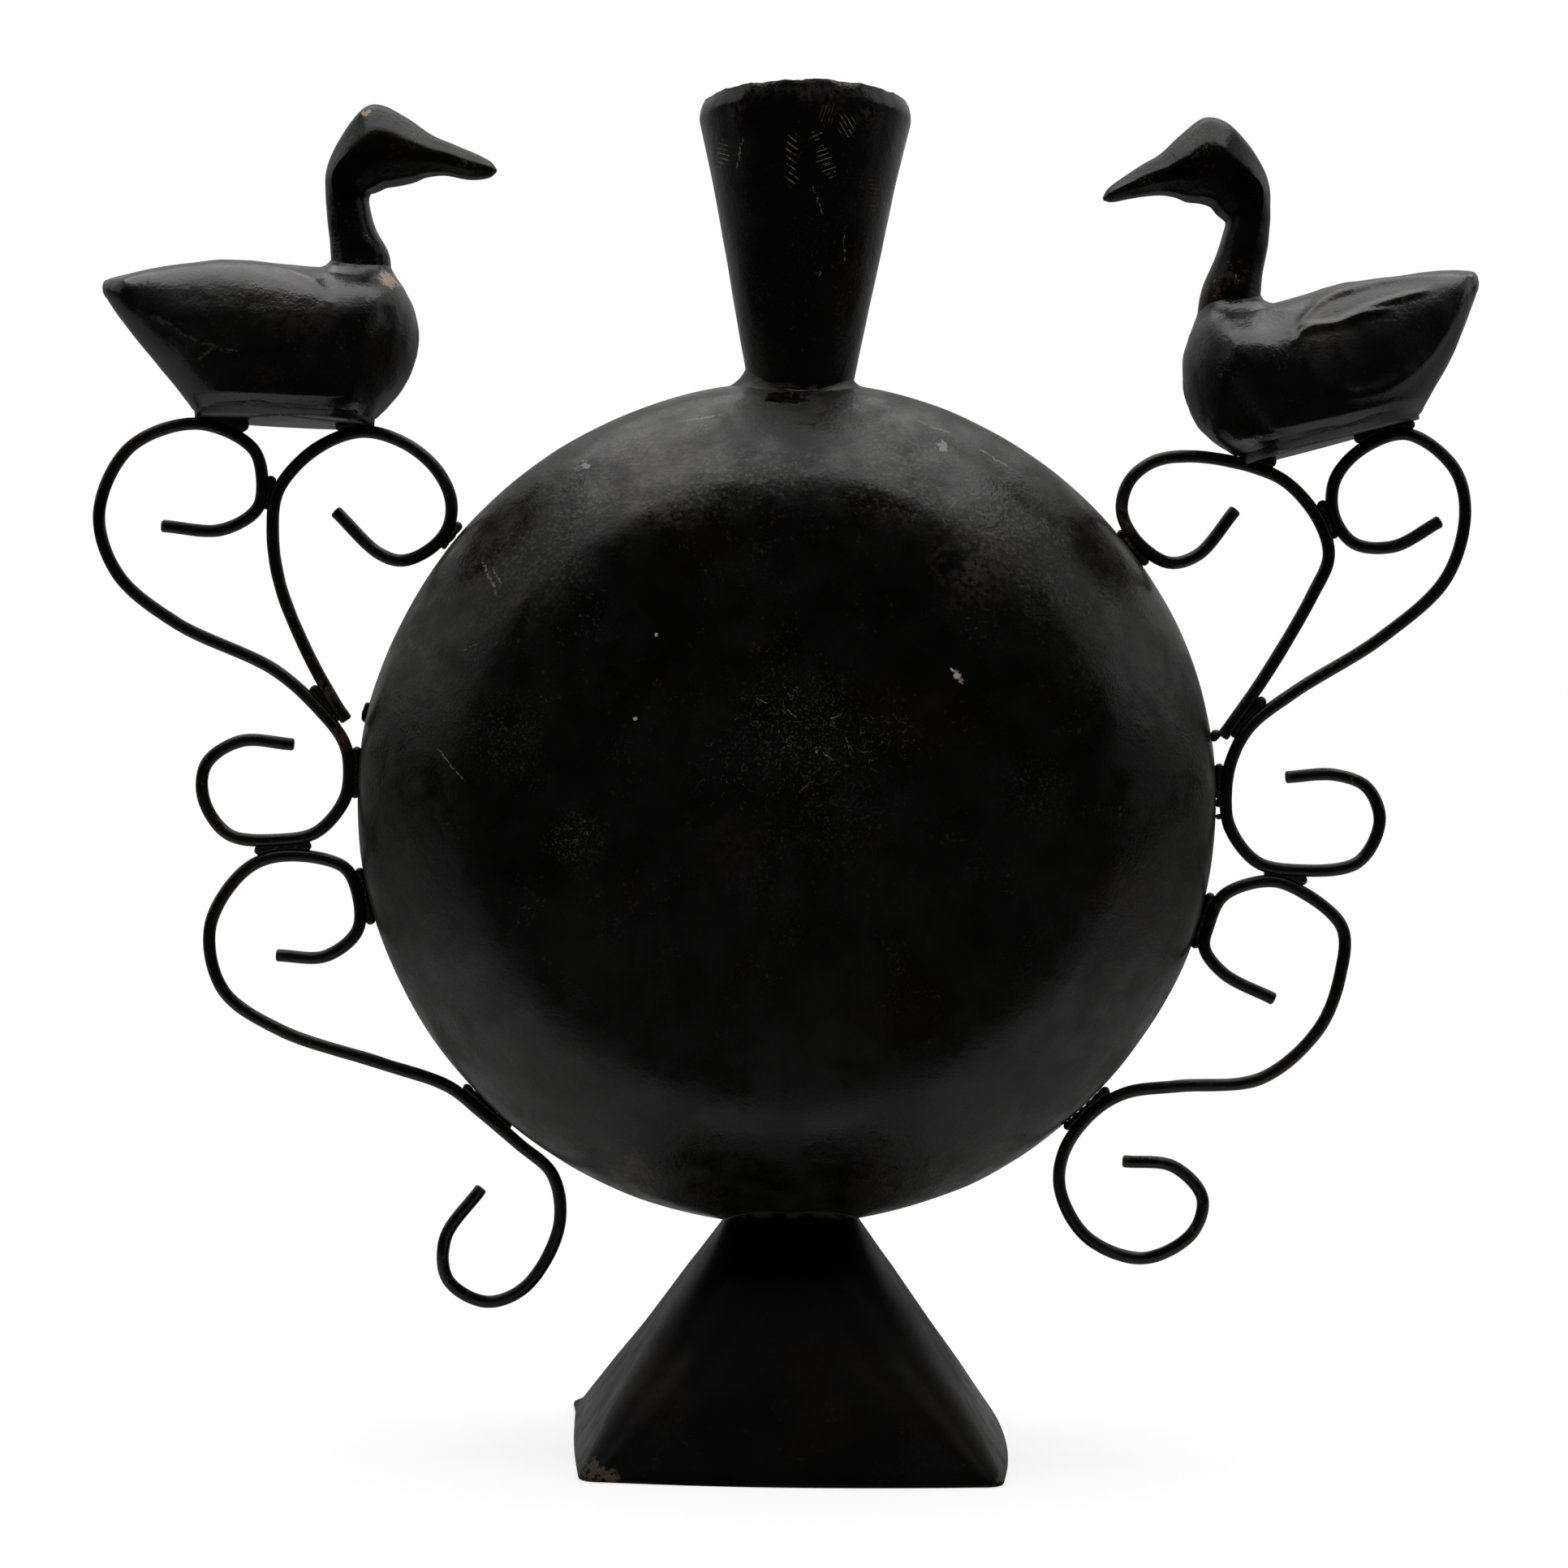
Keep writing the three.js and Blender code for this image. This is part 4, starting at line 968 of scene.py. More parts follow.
LEFT_HEART = join(149.5, 45, -5)
LEFT_FORK = join(169, 10, 33)
LEFT_MEETING = join(185.8, 20.1, -85)
RIGHT_HEART = join(28.6, 46.3, 195)
RIGHT_FORK = join(10.7, 8.5, 142)
RIGHT_MEETING = join(352.2, 20.5, 257)
LEFT_REAR_STAND = at(148, 69.7)
LEFT_FRONT_STAND = at(139.6, 35.1)
RIGHT_REAR_STAND = at(31.4, 74.8)
RIGHT_FRONT_STAND = at(36.4, 37.6)
LEFT_BROKEN_RIM = 168.8

# Each scroll's middle line, from its upper free end to its other end
SCROLLS = {
    "left_upper": [
        at(156.8, 64.7), at(155, 51), at(151.9, 45.4), LEFT_HEART[0], at(147.2, 54.2), LEFT_REAR_STAND,
        at(152.3, 81.2), at(157.8, 81), at(161.8, 71.1), at(164.3, 53), at(166.2, 25.5), LEFT_FORK[0],
        at(172.9, 4.6), on_rim(176.2), at(180.3, 3.3), at(184.3, 10.7), LEFT_MEETING[0], at(184, 32.9),
        at(180.4, 39.1), at(176.9, 38.8), at(174.3, 30.7), at(174, 17.4),
    ],
    "left_inner": [
        at(147.9, 27.8), at(149.3, 12.9), at(148.5, 6.8), at(145.3, 2.8), on_rim(141.8), at(138.8, 6.5),
        at(137.2, 14.5), at(137.5, 25.2), LEFT_FRONT_STAND, at(143.9, 41.4), LEFT_HEART[1], at(152.9, 39.1),
        at(157.4, 31.5), at(163, 19.5), LEFT_FORK[1], at(170, 5),
    ],
    "left_lower": [
        at(197.4, 26.2), at(199.1, 14.7), at(197.3, 5), on_rim(193), at(189, 4.7), LEFT_MEETING[1],
        at(187.9, 30), at(192.8, 40.9), at(199, 42.2), at(204.8, 32.6), at(213.3, 14.3), at(220.6, 4.1),
        on_rim(226), on_rim(232.5), at(238.5, 4.2), at(242.4, 14.8), at(242.3, 32.4), at(239.6, 40.6),
        at(235.3, 41.1), at(232.6, 33), at(232.3, 17.5),
    ],
    "right_upper": [
        at(24, 71.6), at(23.6, 58.4), at(25.3, 49.6), RIGHT_HEART[0], at(31.2, 53), at(32.3, 63.1),
        RIGHT_REAR_STAND, at(27.4, 80.9), at(23.9, 78.7), at(19.5, 68), at(16.2, 47.7), at(13, 22.9),
        RIGHT_FORK[0], at(6.4, 4.5), on_rim(2.8), at(357.7, 3.3), at(353.5, 11.1), RIGHT_MEETING[0],
        at(354.7, 36.6), at(358.9, 41.5), at(2.2, 38.2), at(3.6, 30.1), at(3.6, 18),
    ],
    "right_inner": [
        at(33.8, 27.3), at(31.8, 13.2), at(32.9, 5.9), on_rim(37.8), at(41.8, 4.6), at(43.9, 11.2),
        at(43.6, 19.2), at(41.2, 27.2), RIGHT_FRONT_STAND, at(33.3, 42.3), RIGHT_HEART[1], at(25.2, 42.5),
        at(22.2, 34.5), at(16.1, 18), RIGHT_FORK[1], at(9.4, 2.9),
    ],
    "right_lower": [
        at(338.7, 24.3), at(339.3, 10.3), at(341.5, 3.3), on_rim(344.4), at(348.6, 4.2), at(351.3, 13.5),
        RIGHT_MEETING[1], at(348.1, 35.3), at(343.5, 38.2), at(337.6, 38), at(330.5, 30.7), at(324.7, 14.2),
        at(320.1, 5.1), on_rim(315.5), at(309.4, 5), at(305.9, 12.5), at(305.3, 26.5), at(308.7, 39.1),
        at(313.9, 42.2), at(317.1, 37.5), at(317.4, 26.7), at(313.9, 17),
    ],
}
ROD_STEP = 1.2
ROD_SIDES = 16
ROD_CHAMFER = 0.35
ROD_SWAY = (22, 0.12)  # wavelength and reach
ROD_WAVES = [(6, 0.03), (2.5, 0.02)]  # wavelength, and share of the radius


def rod_mesh(line, seed):
    """A round rod along a level line, slightly uneven, with softened ends."""
    ahead = np.gradient(line, axis=0)
    ahead /= np.linalg.norm(ahead, axis=1)[:, None]
    beside = np.column_stack([ahead[:, 2], np.zeros(len(line)), -ahead[:, 0]])
    middle = line + ROD_SWAY[1] * rough(line, ROD_SWAY[0], seed)[:, None] * BACK
    waves = [share * rough(line, wavelength, seed + i) for i, (wavelength, share) in enumerate(ROD_WAVES, 1)]
    thick = ROD_RADIUS * (1 + sum(waves))
    thick = np.concatenate([[thick[0] - ROD_CHAMFER], thick, [thick[-1] - ROD_CHAMFER]])
    tip, end = middle[0] - ROD_CHAMFER * ahead[0], middle[-1] + ROD_CHAMFER * ahead[-1]
    middle = np.vstack([tip, middle, end])
    beside = np.vstack([beside[:1], beside, beside[-1:]])
    rings = np.stack([
        middle + thick[:, None] * (math.cos(turn) * beside + math.sin(turn) * BACK)
        for turn in turns_of(ROD_SIDES)
    ], axis=1)
    return mesh_through(rings)


lines = {name: smooth_curve(points, ROD_STEP) for name, points in SCROLLS.items()}
for seed, (name, line) in enumerate(lines.items()):
    rod = rod_mesh(line, ROD_SEED + 3 * seed)
    add_piece(f"{name}_rod", rod, rod_paint, [f"{name}_scroll"])


# Ducks, in a frame of their own that starts at the rear end of the plate, with x towards the bill and z up

DUCK_SHEET = 1.0
DUCK_EDGE_LEVEL = 1.02  # lower edge of the halves, just above the plate
DUCK_HEM = 3.2  # height of the band along the lower edge that is bent under
DUCK_TUCK = 0.95  # how far that band is bent under, as a share of its height
DUCK_TUCK_POWER = 1.2
DUCK_INNER_BEND = 0.4  # how much of that bend its inside has
DUCK_MIDDLE = 22  # level that the wings and feathers stand out from
DUCK_LEAN = 0.8  # how steeply they do
TAIL_FADE = (-24, 6)  # where wings and feathers start behind, and over what length
BACK_FADE = 9  # over what width they start beside the middle of the back

# Each duck's body from tail to breast: x, lowest and highest level, and half width
DUCK_SECTIONS = {
    "left": [
        (-25.4, 30.4, 31.6, 1.2), (-25.1, 29.4, 32.4, 3), (-24, 27.9, 33.1, 5.5), (-22, 25.2, 33.8, 8),
        (-14, 15.6, 35.9, 12.5),
        (-4, 4.6, 37.8, 16), (4, -6, 39.2, 18.5), (12, -17, 39.6, 20.5), (22, -18, 39.1, 21.5),
        (31, -17, 38.6, 21.5), (38.5, -11, 38.8, 20.4), (43.5, -1.5, 38.8, 18), (48, 3.8, 37.6, 14.2),
        (52, 9.6, 32.8, 9.5), (54.4, 15.6, 27.6, 5), (55.2, 19, 24, 1.8), (55.4, 21, 22, 0.4),
    ],
    "right": [
        (-23.3, 30, 31.8, 1.6), (-23, 28.8, 32.7, 4), (-22, 27, 33.5, 6.5), (-20, 23.8, 34.2, 8.5),
        (-14, 15.2, 35.3, 12),
        (-4, 3.6, 36.2, 15.5), (4, -6, 36.9, 18), (12, -17, 37.8, 20), (22, -18, 37, 21.5),
        (31, -17, 37, 21.5), (38.5, -11, 38.6, 20.6), (43.5, -2, 39.4, 18.4), (48, 2.6, 37.4, 15),
        (52, 7.4, 32, 10), (54.4, 12, 26.6, 5.4), (55.3, 15.6, 22.4, 2.2), (55.6, 18, 20, 0.5),
    ],
}
# Each duck's neck and head from body to bill: x and level of the throat and of the back, and half width
DUCK_RIBS = {
    "left": [
        (48, 35, 32.6, 35, 8), (46.9, 43, 31.7, 44, 7), (43.4, 49, 30.9, 49.2, 6.2),
        (41.4, 54.8, 29.9, 56.2, 5.8), (41.4, 57.6, 29.7, 62.5, 6.3), (42.6, 58.2, 31.2, 68.1, 7.2),
        (43.9, 58.8, 34.9, 75.1, 8),
        (45.4, 59.6, 39.2, 80.3, 8.2), (48, 60.2, 44, 80.6, 8), (52.1, 61.3, 50.5, 77.3, 7),
        (55.5, 62.8, 56.4, 73.7, 5.4), (60, 63.5, 61.5, 71.8, 4.2), (66.5, 62.7, 67.5, 69.6, 3.6),
        (71.2, 63.5, 71.4, 67.8, 2.6), (73, 64.9, 73.2, 65.8, 0.8),
    ],
    "right": [
        (49, 35, 32.6, 35, 8), (45.5, 44, 29.3, 45, 7), (40.2, 51.6, 26.4, 51.6, 6.3),
        (36.9, 57.2, 23.8, 60, 6), (35.8, 59.4, 22.6, 66.6, 6.4), (36.2, 60.4, 23.2, 71.8, 7.2),
        (37.4, 62, 25.8, 78.6, 8),
        (38.6, 64.4, 29.5, 84.5, 8.3), (41, 65.8, 34.8, 86.9, 8), (44, 66.9, 41.6, 83.9, 7),
        (47.2, 69, 47.6, 80.4, 5.4), (51.6, 70.4, 52.8, 78.8, 4.2), (58, 70.9, 59, 76.6, 3.6),
        (62.6, 71.1, 62.9, 74.8, 2.6), (64.5, 71.9, 64.7, 72.9, 0.8),
    ],
}
DUCKS = {
    "left": {"origin": (-151.21, 260.5), "pitch": -1.974, "facing": 1},
    "right": {"origin": (158.4, 262.97), "pitch": -13.713, "facing": -1},
}
# How far the plate under a duck hangs down at the tail and the breast, and where these are
PLATE_SAG = {"left": (0.9, 0.9), "right": (0.2, 1.6)}
PLATE_ENDS = (0, 45)
PLATE_TOP = 0.6  # the plate reaches as far as the duck's body comes below this level
PLATE_LAYERS = [(0, 2.2), (0.25, 1.3), (0.5, 0.7), (1, 0)]  # share of its thickness, and inset of its edge
PLATE_LEAST = 0.4  # least half width
NECK_CREASE = 0.62  # level of the crease along the back of the neck, as a share of the rib
HEAD_CREASE = 0.22
COLLAR_COLUMNS = 96
COLLAR_RISE = 0.22  # how far the weld runs up the neck, as a share of the way to the second rib
COLLAR_WIDTH = 3.2
DUCK_STEPS = 180
DUCK_COLUMNS = 110
HEAD_STEPS = 96
HEAD_HALF_COLUMNS = 18

# Outlines of the wings, seen from the side
WINGS = {
    "left": [(-22, 30), (-15.2, 25), (-3.4, 19.5), (3, 16.1), (12.7, 13.6), (22.2, 14), (30.3, 18.6),
             (34.1, 24.8), (34.1, 27.6), (32.9, 29.9), (30.1, 33.1), (24.7, 35.7), (17, 37.9), (12, 44),
             (-14, 42)],
    "right": [(-20.6, 31.5), (-14.9, 23.4), (-5.2, 14.5), (5.4, 8.9), (10.5, 7.9), (16.4, 7.8), (22, 9.8),
              (26.5, 14), (28.4, 20), (27.9, 24.9), (25.9, 28.7), (21.7, 31.7), (17.9, 35.2), (8, 44),
              (-14, 42)],
}
WING_LIFT = 0.9
WING_UPPER = (26, 8)  # level where its upper edge starts, and over what height
WING_EDGE_START = 0.4  # the share of the edge that is outside the outline
WING_EDGE = (2.4, 8)  # width of the wing's edge low on the side and near the back
WING_LOW_LIFT = {"left": 0.35, "right": 0.6}  # how far the wing's lower edge stands out beside its upper edge
BREAST_BULGES = {"left": (42, 26, 9, 0.9), "right": (41, 23.5, 7, 2.2)}  # x, level, radius and height
# Ridges along the wings and their feathers: height, half width and line
RIDGES = {
    "left": [
        (0.3, 1.3, [(9.4, 38.8), (17, 37.9), (24.7, 35.7), (30.1, 33.1), (32.9, 29.9), (34.1, 27.6),
                    (33, 22)]),
        (0.3, 1.2, [(-15.2, 25), (-3.4, 19.5), (3, 16.1), (7.9, 14.8), (12.7, 13.6), (19, 13.4)]),
    ],
    "right": [
        (1.1, 2.0, [(26, 12), (22, 9.5), (16.4, 7.8), (10.5, 7.9), (5.4, 8.9), (-0.4, 11.6),
                    (-5.2, 14.5)]),
        (1.0, 1.3, [(5.4, 8.9), (-0.4, 11.6), (-5.2, 14.5), (-10.4, 18.8), (-14.9, 23.4),
                    (-18.2, 27.7), (-21, 32)]),
        (0.5, 0.9, [(20, 34), (17.9, 35.2), (12.9, 36.2), (7.9, 36.6), (-4, 35.8)]),
        (0.85, 1.1, [(28, 25.5), (25.9, 28.7), (21.7, 31.7), (16.9, 33.6), (12.3, 34.1), (3, 34.5),
                     (-16, 33)]),
        (0.85, 1.1, [(30, 22.5), (27.9, 24.9), (25.9, 26.7), (22.7, 27.3), (16.7, 26.6), (10.2, 27.6),
                     (0, 27.4)]),
        (0.55, 0.8, [(13, 28.8), (9.2, 28.9), (-0.2, 29.4), (-11, 29.9)]),
    ],
}
RIDGE_END = 0.3  # the share of a ridge's length over which it runs out


def in_place(duck, local):
    """Points of a duck's own frame where the duck stands."""
    local = np.asarray(local, dtype=float)
    pitch = math.radians(duck["pitch"])
    facing = duck["facing"]
    x = duck["origin"][0] + facing * (local[..., 0] * math.cos(pitch) - local[..., 2] * math.sin(pitch))
    z = duck["origin"][1] + local[..., 0] * math.sin(pitch) + local[..., 2] * math.cos(pitch)
    return np.stack([x, local[..., 1], z], axis=-1)


def nearest(points, line):
    """Distance from points of a plane to a line, and how far along the line it is nearest, as a share."""
    line = np.asarray(line, dtype=float)
    lengths = np.linalg.norm(np.diff(line, axis=0), axis=1)
    best = np.full(len(points), np.inf)
    place = np.zeros(len(points))
    for index, (start, end) in enumerate(zip(line, line[1:])):
        along = end - start
        share = np.clip(((points - start) @ along) / (along @ along), 0, 1)
        distance = np.linalg.norm(points - start - share[:, None] * along, axis=1)
        nearer = distance < best
        best[nearer] = distance[nearer]
        place[nearer] = (lengths[:index].sum() + share[nearer] * lengths[index]) / lengths.sum()
    return best, place


def ridge(points, line, height, half_width):
    """Height of a ridge along a line at points of a plane."""
    distance, place = nearest(points, line)
    ends = soft_step(place / RIDGE_END) * soft_step((1 - place) / RIDGE_END)
    return height * ends * np.exp(-((distance / half_width) ** 2))


def inside(points, outline):
    """Whether points of a plane lie inside a closed outline."""
    result = np.zeros(len(points), dtype=bool)
    outline = np.asarray(outline, dtype=float)
    for (x1, z1), (x2, z2) in zip(outline, np.roll(outline, -1, axis=0)):
        crosses = (z1 > points[:, 1]) != (z2 > points[:, 1])
        with np.errstate(divide="ignore", invalid="ignore"):
            meeting = x1 + (points[:, 1] - z1) * (x2 - x1) / (z2 - z1)
        result ^= crosses & (points[:, 0] < meeting)
    return result


def duck_sections(side):
    """Fine sections of a duck's body, closer together at its ends."""
    table = DUCK_SECTIONS[side]
    ends = 0.5 - 0.5 * np.cos(np.linspace(0, math.pi, DUCK_STEPS))
    even = np.linspace(0, 1, DUCK_STEPS)
    positions = table[0][0] + (table[-1][0] - table[0][0]) * (0.5 * ends + 0.5 * even)
    return np.column_stack([positions, through(table, positions)])


def half_section(section, grow, bend):
    """Points down the front half of a section, from the back to the lower edge."""
    x, low, high, half = section
    middle = (low + high) / 2
    tall = (high - low) / 2 + grow
    wide = max(0.05, half + grow)
    depth = min(1, (middle - DUCK_EDGE_LEVEL) / tall)
    angles = np.linspace(math.pi / 2, -math.asin(depth), DUCK_COLUMNS)
    y = wide * np.cos(angles)
    z = middle + tall * np.sin(angles)
    height = np.clip((z - DUCK_EDGE_LEVEL) / DUCK_HEM, 0, 1)
    tuck = bend * DUCK_TUCK * DUCK_HEM * (1 - height) ** DUCK_TUCK_POWER
    y = np.maximum(y - tuck, 0)
    return np.column_stack([np.full(len(y), x), y, z])


def wing_lift(side, seen):
    """How far the wing and its feathers stand out at places seen from the side."""
    distance, _ = nearest(seen, [*WINGS[side], WINGS[side][0]])
    signed = np.where(inside(seen, WINGS[side]), distance, -distance)
    upper = soft_step((seen[:, 1] - WING_UPPER[0]) / WING_UPPER[1])
    width = WING_EDGE[0] + (WING_EDGE[1] - WING_EDGE[0]) * upper
    step = WING_LIFT * soft_step(signed / width + WING_EDGE_START)
    lift = (WING_LOW_LIFT[side] + (1 - WING_LOW_LIFT[side]) * upper) * step
    for height, half_width, line in RIDGES[side]:
        lift += ridge(seen, line, height, half_width)
    x, level, radius, height = BREAST_BULGES[side]
    return lift + height * np.exp(-((np.linalg.norm(seen - (x, level), axis=1) / radius) ** 2))


def duck_half(side):
    """The front half of a duck's body, with wing and feathers raised, in the duck's own frame."""
    sections = duck_sections(side)
    rows = []
    for section in sections:
        room = min(1, max(0.15, (section[3] - 1) / 3))
        outer = half_section(section, 0, 1)
        inner = half_section(section, -DUCK_SHEET * room, DUCK_INNER_BEND)
        rows.append(np.vstack([outer, inner[::-1]]))
    rings = np.array(rows)
    outer = rings[:, :DUCK_COLUMNS].reshape(-1, 3)
    lift = wing_lift(side, outer[:, [0, 2]])
    away = np.column_stack([np.zeros(len(outer)), outer[:, 1], DUCK_LEAN * (outer[:, 2] - DUCK_MIDDLE)])
    away /= np.linalg.norm(away, axis=1)[:, None] + 1e-9
    fade = soft_step((outer[:, 0] - TAIL_FADE[0]) / TAIL_FADE[1]) * soft_step(outer[:, 1] / BACK_FADE)
    outer += away * (lift * fade)[:, None]
    rings[:, :DUCK_COLUMNS] = outer.reshape(len(sections), DUCK_COLUMNS, 3)
    return rings


def plate_outline(side, inset):
    """The edge of the plate under a duck, as x and half the width."""
    outline = []
    for section in duck_sections(side):
        if section[1] < PLATE_TOP:
            edge = half_section(section, 0, 1)[-1]
            outline.append((section[0], max(PLATE_LEAST, edge[1] - inset)))
    return np.array(outline)


def plate_rings(side):
    """Rings of the flat plate under a duck, with softened edges."""
    layers = []
    for share, inset in PLATE_LAYERS:
        outline = plate_outline(side, inset)
        lowest = -np.interp(outline[:, 0], PLATE_ENDS, PLATE_SAG[side])
        level = lowest + share * (DUCK_SHEET - lowest)
        front = np.column_stack([outline[:, 0], -outline[:, 1], level])
        rear = np.column_stack([outline[:, 0], outline[:, 1], level])[::-1]
        layers.append(np.vstack([front, rear]))
    return np.array(layers)


def head_half(house, crease):
    """Half of a rib as shares of its height and half width: an oval, or a roof over upright sides."""
    shares = np.linspace(0, 1, HEAD_HALF_COLUMNS)
    oval = np.column_stack([np.cos(math.pi * shares), np.sin(math.pi * shares)])
    roof = np.array([
        (0, 1, 0), (0.14, 1 - 0.13 * (1 - crease), 0.34), (0.4, crease, 1), (0.46, crease - 0.14, 1.02),
        (0.6, -0.35, 0.93), (0.82, -0.84, 0.5), (1, -1, 0),
    ])
    creased = np.column_stack([np.interp(shares, roof[:, 0], roof[:, axis]) for axis in (1, 2)])
    return (1 - house) * oval + house * creased


def head_rings(side):
    """Rings of a duck's neck and head, from inside the body to the tip of the bill."""
    ribs = np.column_stack([np.arange(len(DUCK_RIBS[side])), DUCK_RIBS[side]])
    fine = through(ribs, np.linspace(0, len(ribs) - 1, HEAD_STEPS))
    rings = []
    for share, (throat_x, throat_z, crown_x, crown_z, half) in zip(np.linspace(0, 1, HEAD_STEPS), fine):
        throat = np.array([throat_x, 0, throat_z])
        crown = np.array([crown_x, 0, crown_z])
        middle = (throat + crown) / 2
        house = soft_step((share - 0.08) / 0.2)
        crease = NECK_CREASE + (HEAD_CREASE - NECK_CREASE) * soft_step((share - 0.25) / 0.25)
        profile = head_half(house, crease)
        one = middle + profile[:, :1] * (crown - middle) - profile[:, 1:] * np.array([0, half, 0])
        other = one[-2:0:-1] * np.array([1, -1, 1])
        rings.append(np.vstack([one, other]))
    return np.array(rings)


def back_level(sections, x, y):
    """Level of the upper side of a duck's body at a place seen from above."""
    low, high, half = (np.interp(x, sections[:, 0], sections[:, column]) for column in (1, 2, 3))
    height = math.sqrt(max(0, 1 - (y / half) ** 2))
    return (low + high) / 2 + (high - low) / 2 * height


def neck_outside(side, turn, share):
    """A place on the root of a duck's neck, from its lowest rib at 0 to the next one at 1."""
    first, second = np.array(DUCK_RIBS[side][0]), np.array(DUCK_RIBS[side][1])
    throat_x, throat_z, crown_x, crown_z, half = first + share * (second - first)
    ahead, across = 0.5 + 0.5 * math.cos(turn), half * math.sin(turn)
    return np.array([crown_x + ahead * (throat_x - crown_x), across, crown_z + ahead * (throat_z - crown_z)])


def neck_collar(side):
    """Rings of the hollow-faced weld round the root of a duck's neck."""
    sections = duck_sections(side)
    rings = []
    for turn in turns_of(COLLAR_COLUMNS):
        shares = np.linspace(0, 1, 80)
        root_share = next(
            share for share in shares
            if neck_outside(side, turn, share)[2] > back_level(sections, *neck_outside(side, turn, share)[:2])
        )
        corner = neck_outside(side, turn, root_share)
        upper = neck_outside(side, turn, root_share + COLLAR_RISE)
        middle = (neck_outside(side, 0, root_share) + neck_outside(side, math.pi, root_share)) / 2
        out = (corner - middle) * np.array([1, 1, 0])
        out /= np.linalg.norm(out)
        lower = corner + COLLAR_WIDTH * out
        lower[2] = back_level(sections, *lower[:2]) + 0.05
        rings.append(fillet_ring(upper + 0.1 * out, corner, lower, out))
    return np.array(rings)


for index, (side, duck) in enumerate(DUCKS.items()):
    half = duck_half(side)
    for mirror, name in ((-1, "front"), (1, "rear")):
        rings = half * np.array([1, mirror, 1])
        mesh = mesh_through(in_place(duck, rings))
        dent(mesh, DUCK_DENTS, index)
        add_piece(f"{side}_duck_{name}_half", mesh, duck_paint, [f"{side}_duck_{name}_shell"])
    plate = mesh_through(in_place(duck, plate_rings(side)))
    add_piece(f"{side}_duck_plate", plate, duck_paint, [f"{side}_duck_base_plate"])
    head = mesh_through(in_place(duck, head_rings(side)))
    dent(head, HEAD_DENTS, index)
    add_piece(f"{side}_duck_head", head, head_paint, [f"{side}_duck_neck_and_head"])
    collar = mesh_through(in_place(duck, neck_collar(side)), "joined")
    dent(collar, COLLAR_DENTS, index)
    add_piece(f"{side}_duck_collar", collar, duck_paint, [f"{side}_duck_neck_weld"])


# Welds

def lumps_between(line, other, other_radius, place, fill):
    """Balls that fill the gap between a rod and what it is welded to, near a place."""
    balls = []
    for point in line[np.linalg.norm(line - place, axis=1) < WELD_REACH]:
        offsets = other - point
        distances = np.linalg.norm(offsets, axis=1)
        nearest = distances.argmin()
        gap = distances[nearest] - ROD_RADIUS - other_radius
        if gap < fill and 0 < nearest < len(other) - 1:
            middle = point + offsets[nearest] / distances[nearest] * (ROD_RADIUS + max(0, gap) / 2)
            balls.append((middle, max(0, gap) / 2 + WELD_BITE))
    return balls


WELD_GRAIN = 0.3
WELD_SMOOTHING = 3


def weld_mesh(balls, later):
    """Weld metal: balls run together into one lumpy body."""
    shape = bmesh.new()
    for middle, radius in balls:
        made = bmesh.ops.create_icosphere(shape, subdivisions=2, radius=radius)
        bmesh.ops.scale(shape, verts=made["verts"], vec=(1, WELD_DEPTH / radius, 1))
        bmesh.ops.translate(shape, verts=made["verts"], vec=Vector(middle))
    mesh = bpy.data.meshes.new("weld")
    shape.to_mesh(mesh)
    shape.free()
    made = linked("weld", mesh)
    remesh = made.modifiers.new("remesh", "REMESH")
    remesh.mode = "VOXEL"
    remesh.voxel_size = WELD_GRAIN
    result = applied(made)
    shape = bmesh.new()
    shape.from_mesh(result)
    axes = {"use_axis_x": True, "use_axis_y": True, "use_axis_z": True}
    for _ in range(WELD_SMOOTHING):
        bmesh.ops.smooth_vert(shape, verts=shape.verts, factor=0.5, **axes)
    bmesh.ops.recalc_face_normals(shape, faces=shape.faces)
    shape.to_mesh(result)
    shape.free()
    dent(result, WELD_DENTS, later)
    return result


rim = np.array([at(bearing, 0) for bearing in np.arange(0, 360, 0.4)])
plates = {
    side: in_place(duck, [(x, 0, 0) for x in np.arange(0.5, 44, 0.5)])
    for side, duck in DUCKS.items()
}
WELDS = {
    "left_heart_weld": (LEFT_HEART[2] + 3 * UP, "left_upper", "left_inner"),
    "left_fork_weld": (LEFT_FORK[2], "left_upper", "left_inner"),
    "left_meeting_weld": (LEFT_MEETING[2], "left_upper", "left_lower"),
    "left_duck_rear_weld": (LEFT_REAR_STAND + 5 * ASIDE, "left_upper", "plate"),
    "left_duck_front_weld": (LEFT_FRONT_STAND + 2 * ASIDE, "left_inner", "plate"),
    "left_inner_rim_weld": (at(140.3, 0), "left_inner", "rim"),
    "left_upper_rim_weld": (at(176.2, 0), "left_upper", "rim"),
    "left_lower_rim_weld": (at(193, 0), "left_lower", "rim"),
    "left_low_rim_weld": (at(226, 0), "left_lower", "rim"),
    "right_heart_weld": (RIGHT_HEART[2] + 3 * UP, "right_upper", "right_inner"),
    "right_fork_weld": (RIGHT_FORK[2], "right_upper", "right_inner"),
    "right_meeting_weld": (RIGHT_MEETING[2], "right_upper", "right_lower"),
    "right_duck_rear_weld": (RIGHT_REAR_STAND - 5 * ASIDE, "right_upper", "plate"),
    "right_duck_front_weld": (RIGHT_FRONT_STAND + 6 * ASIDE, "right_inner", "plate"),
    "right_inner_rim_weld": (at(36, 0), "right_inner", "rim"),
    "right_inner_end_weld": (at(9.4, 0), "right_inner", "rim"),
    "right_upper_rim_weld": (at(2.8, 0), "right_upper", "rim"),
    "right_lower_rim_weld": (at(344.4, 0), "right_lower", "rim"),
    "right_low_rim_weld": (at(315.5, 0), "right_lower", "rim"),
}
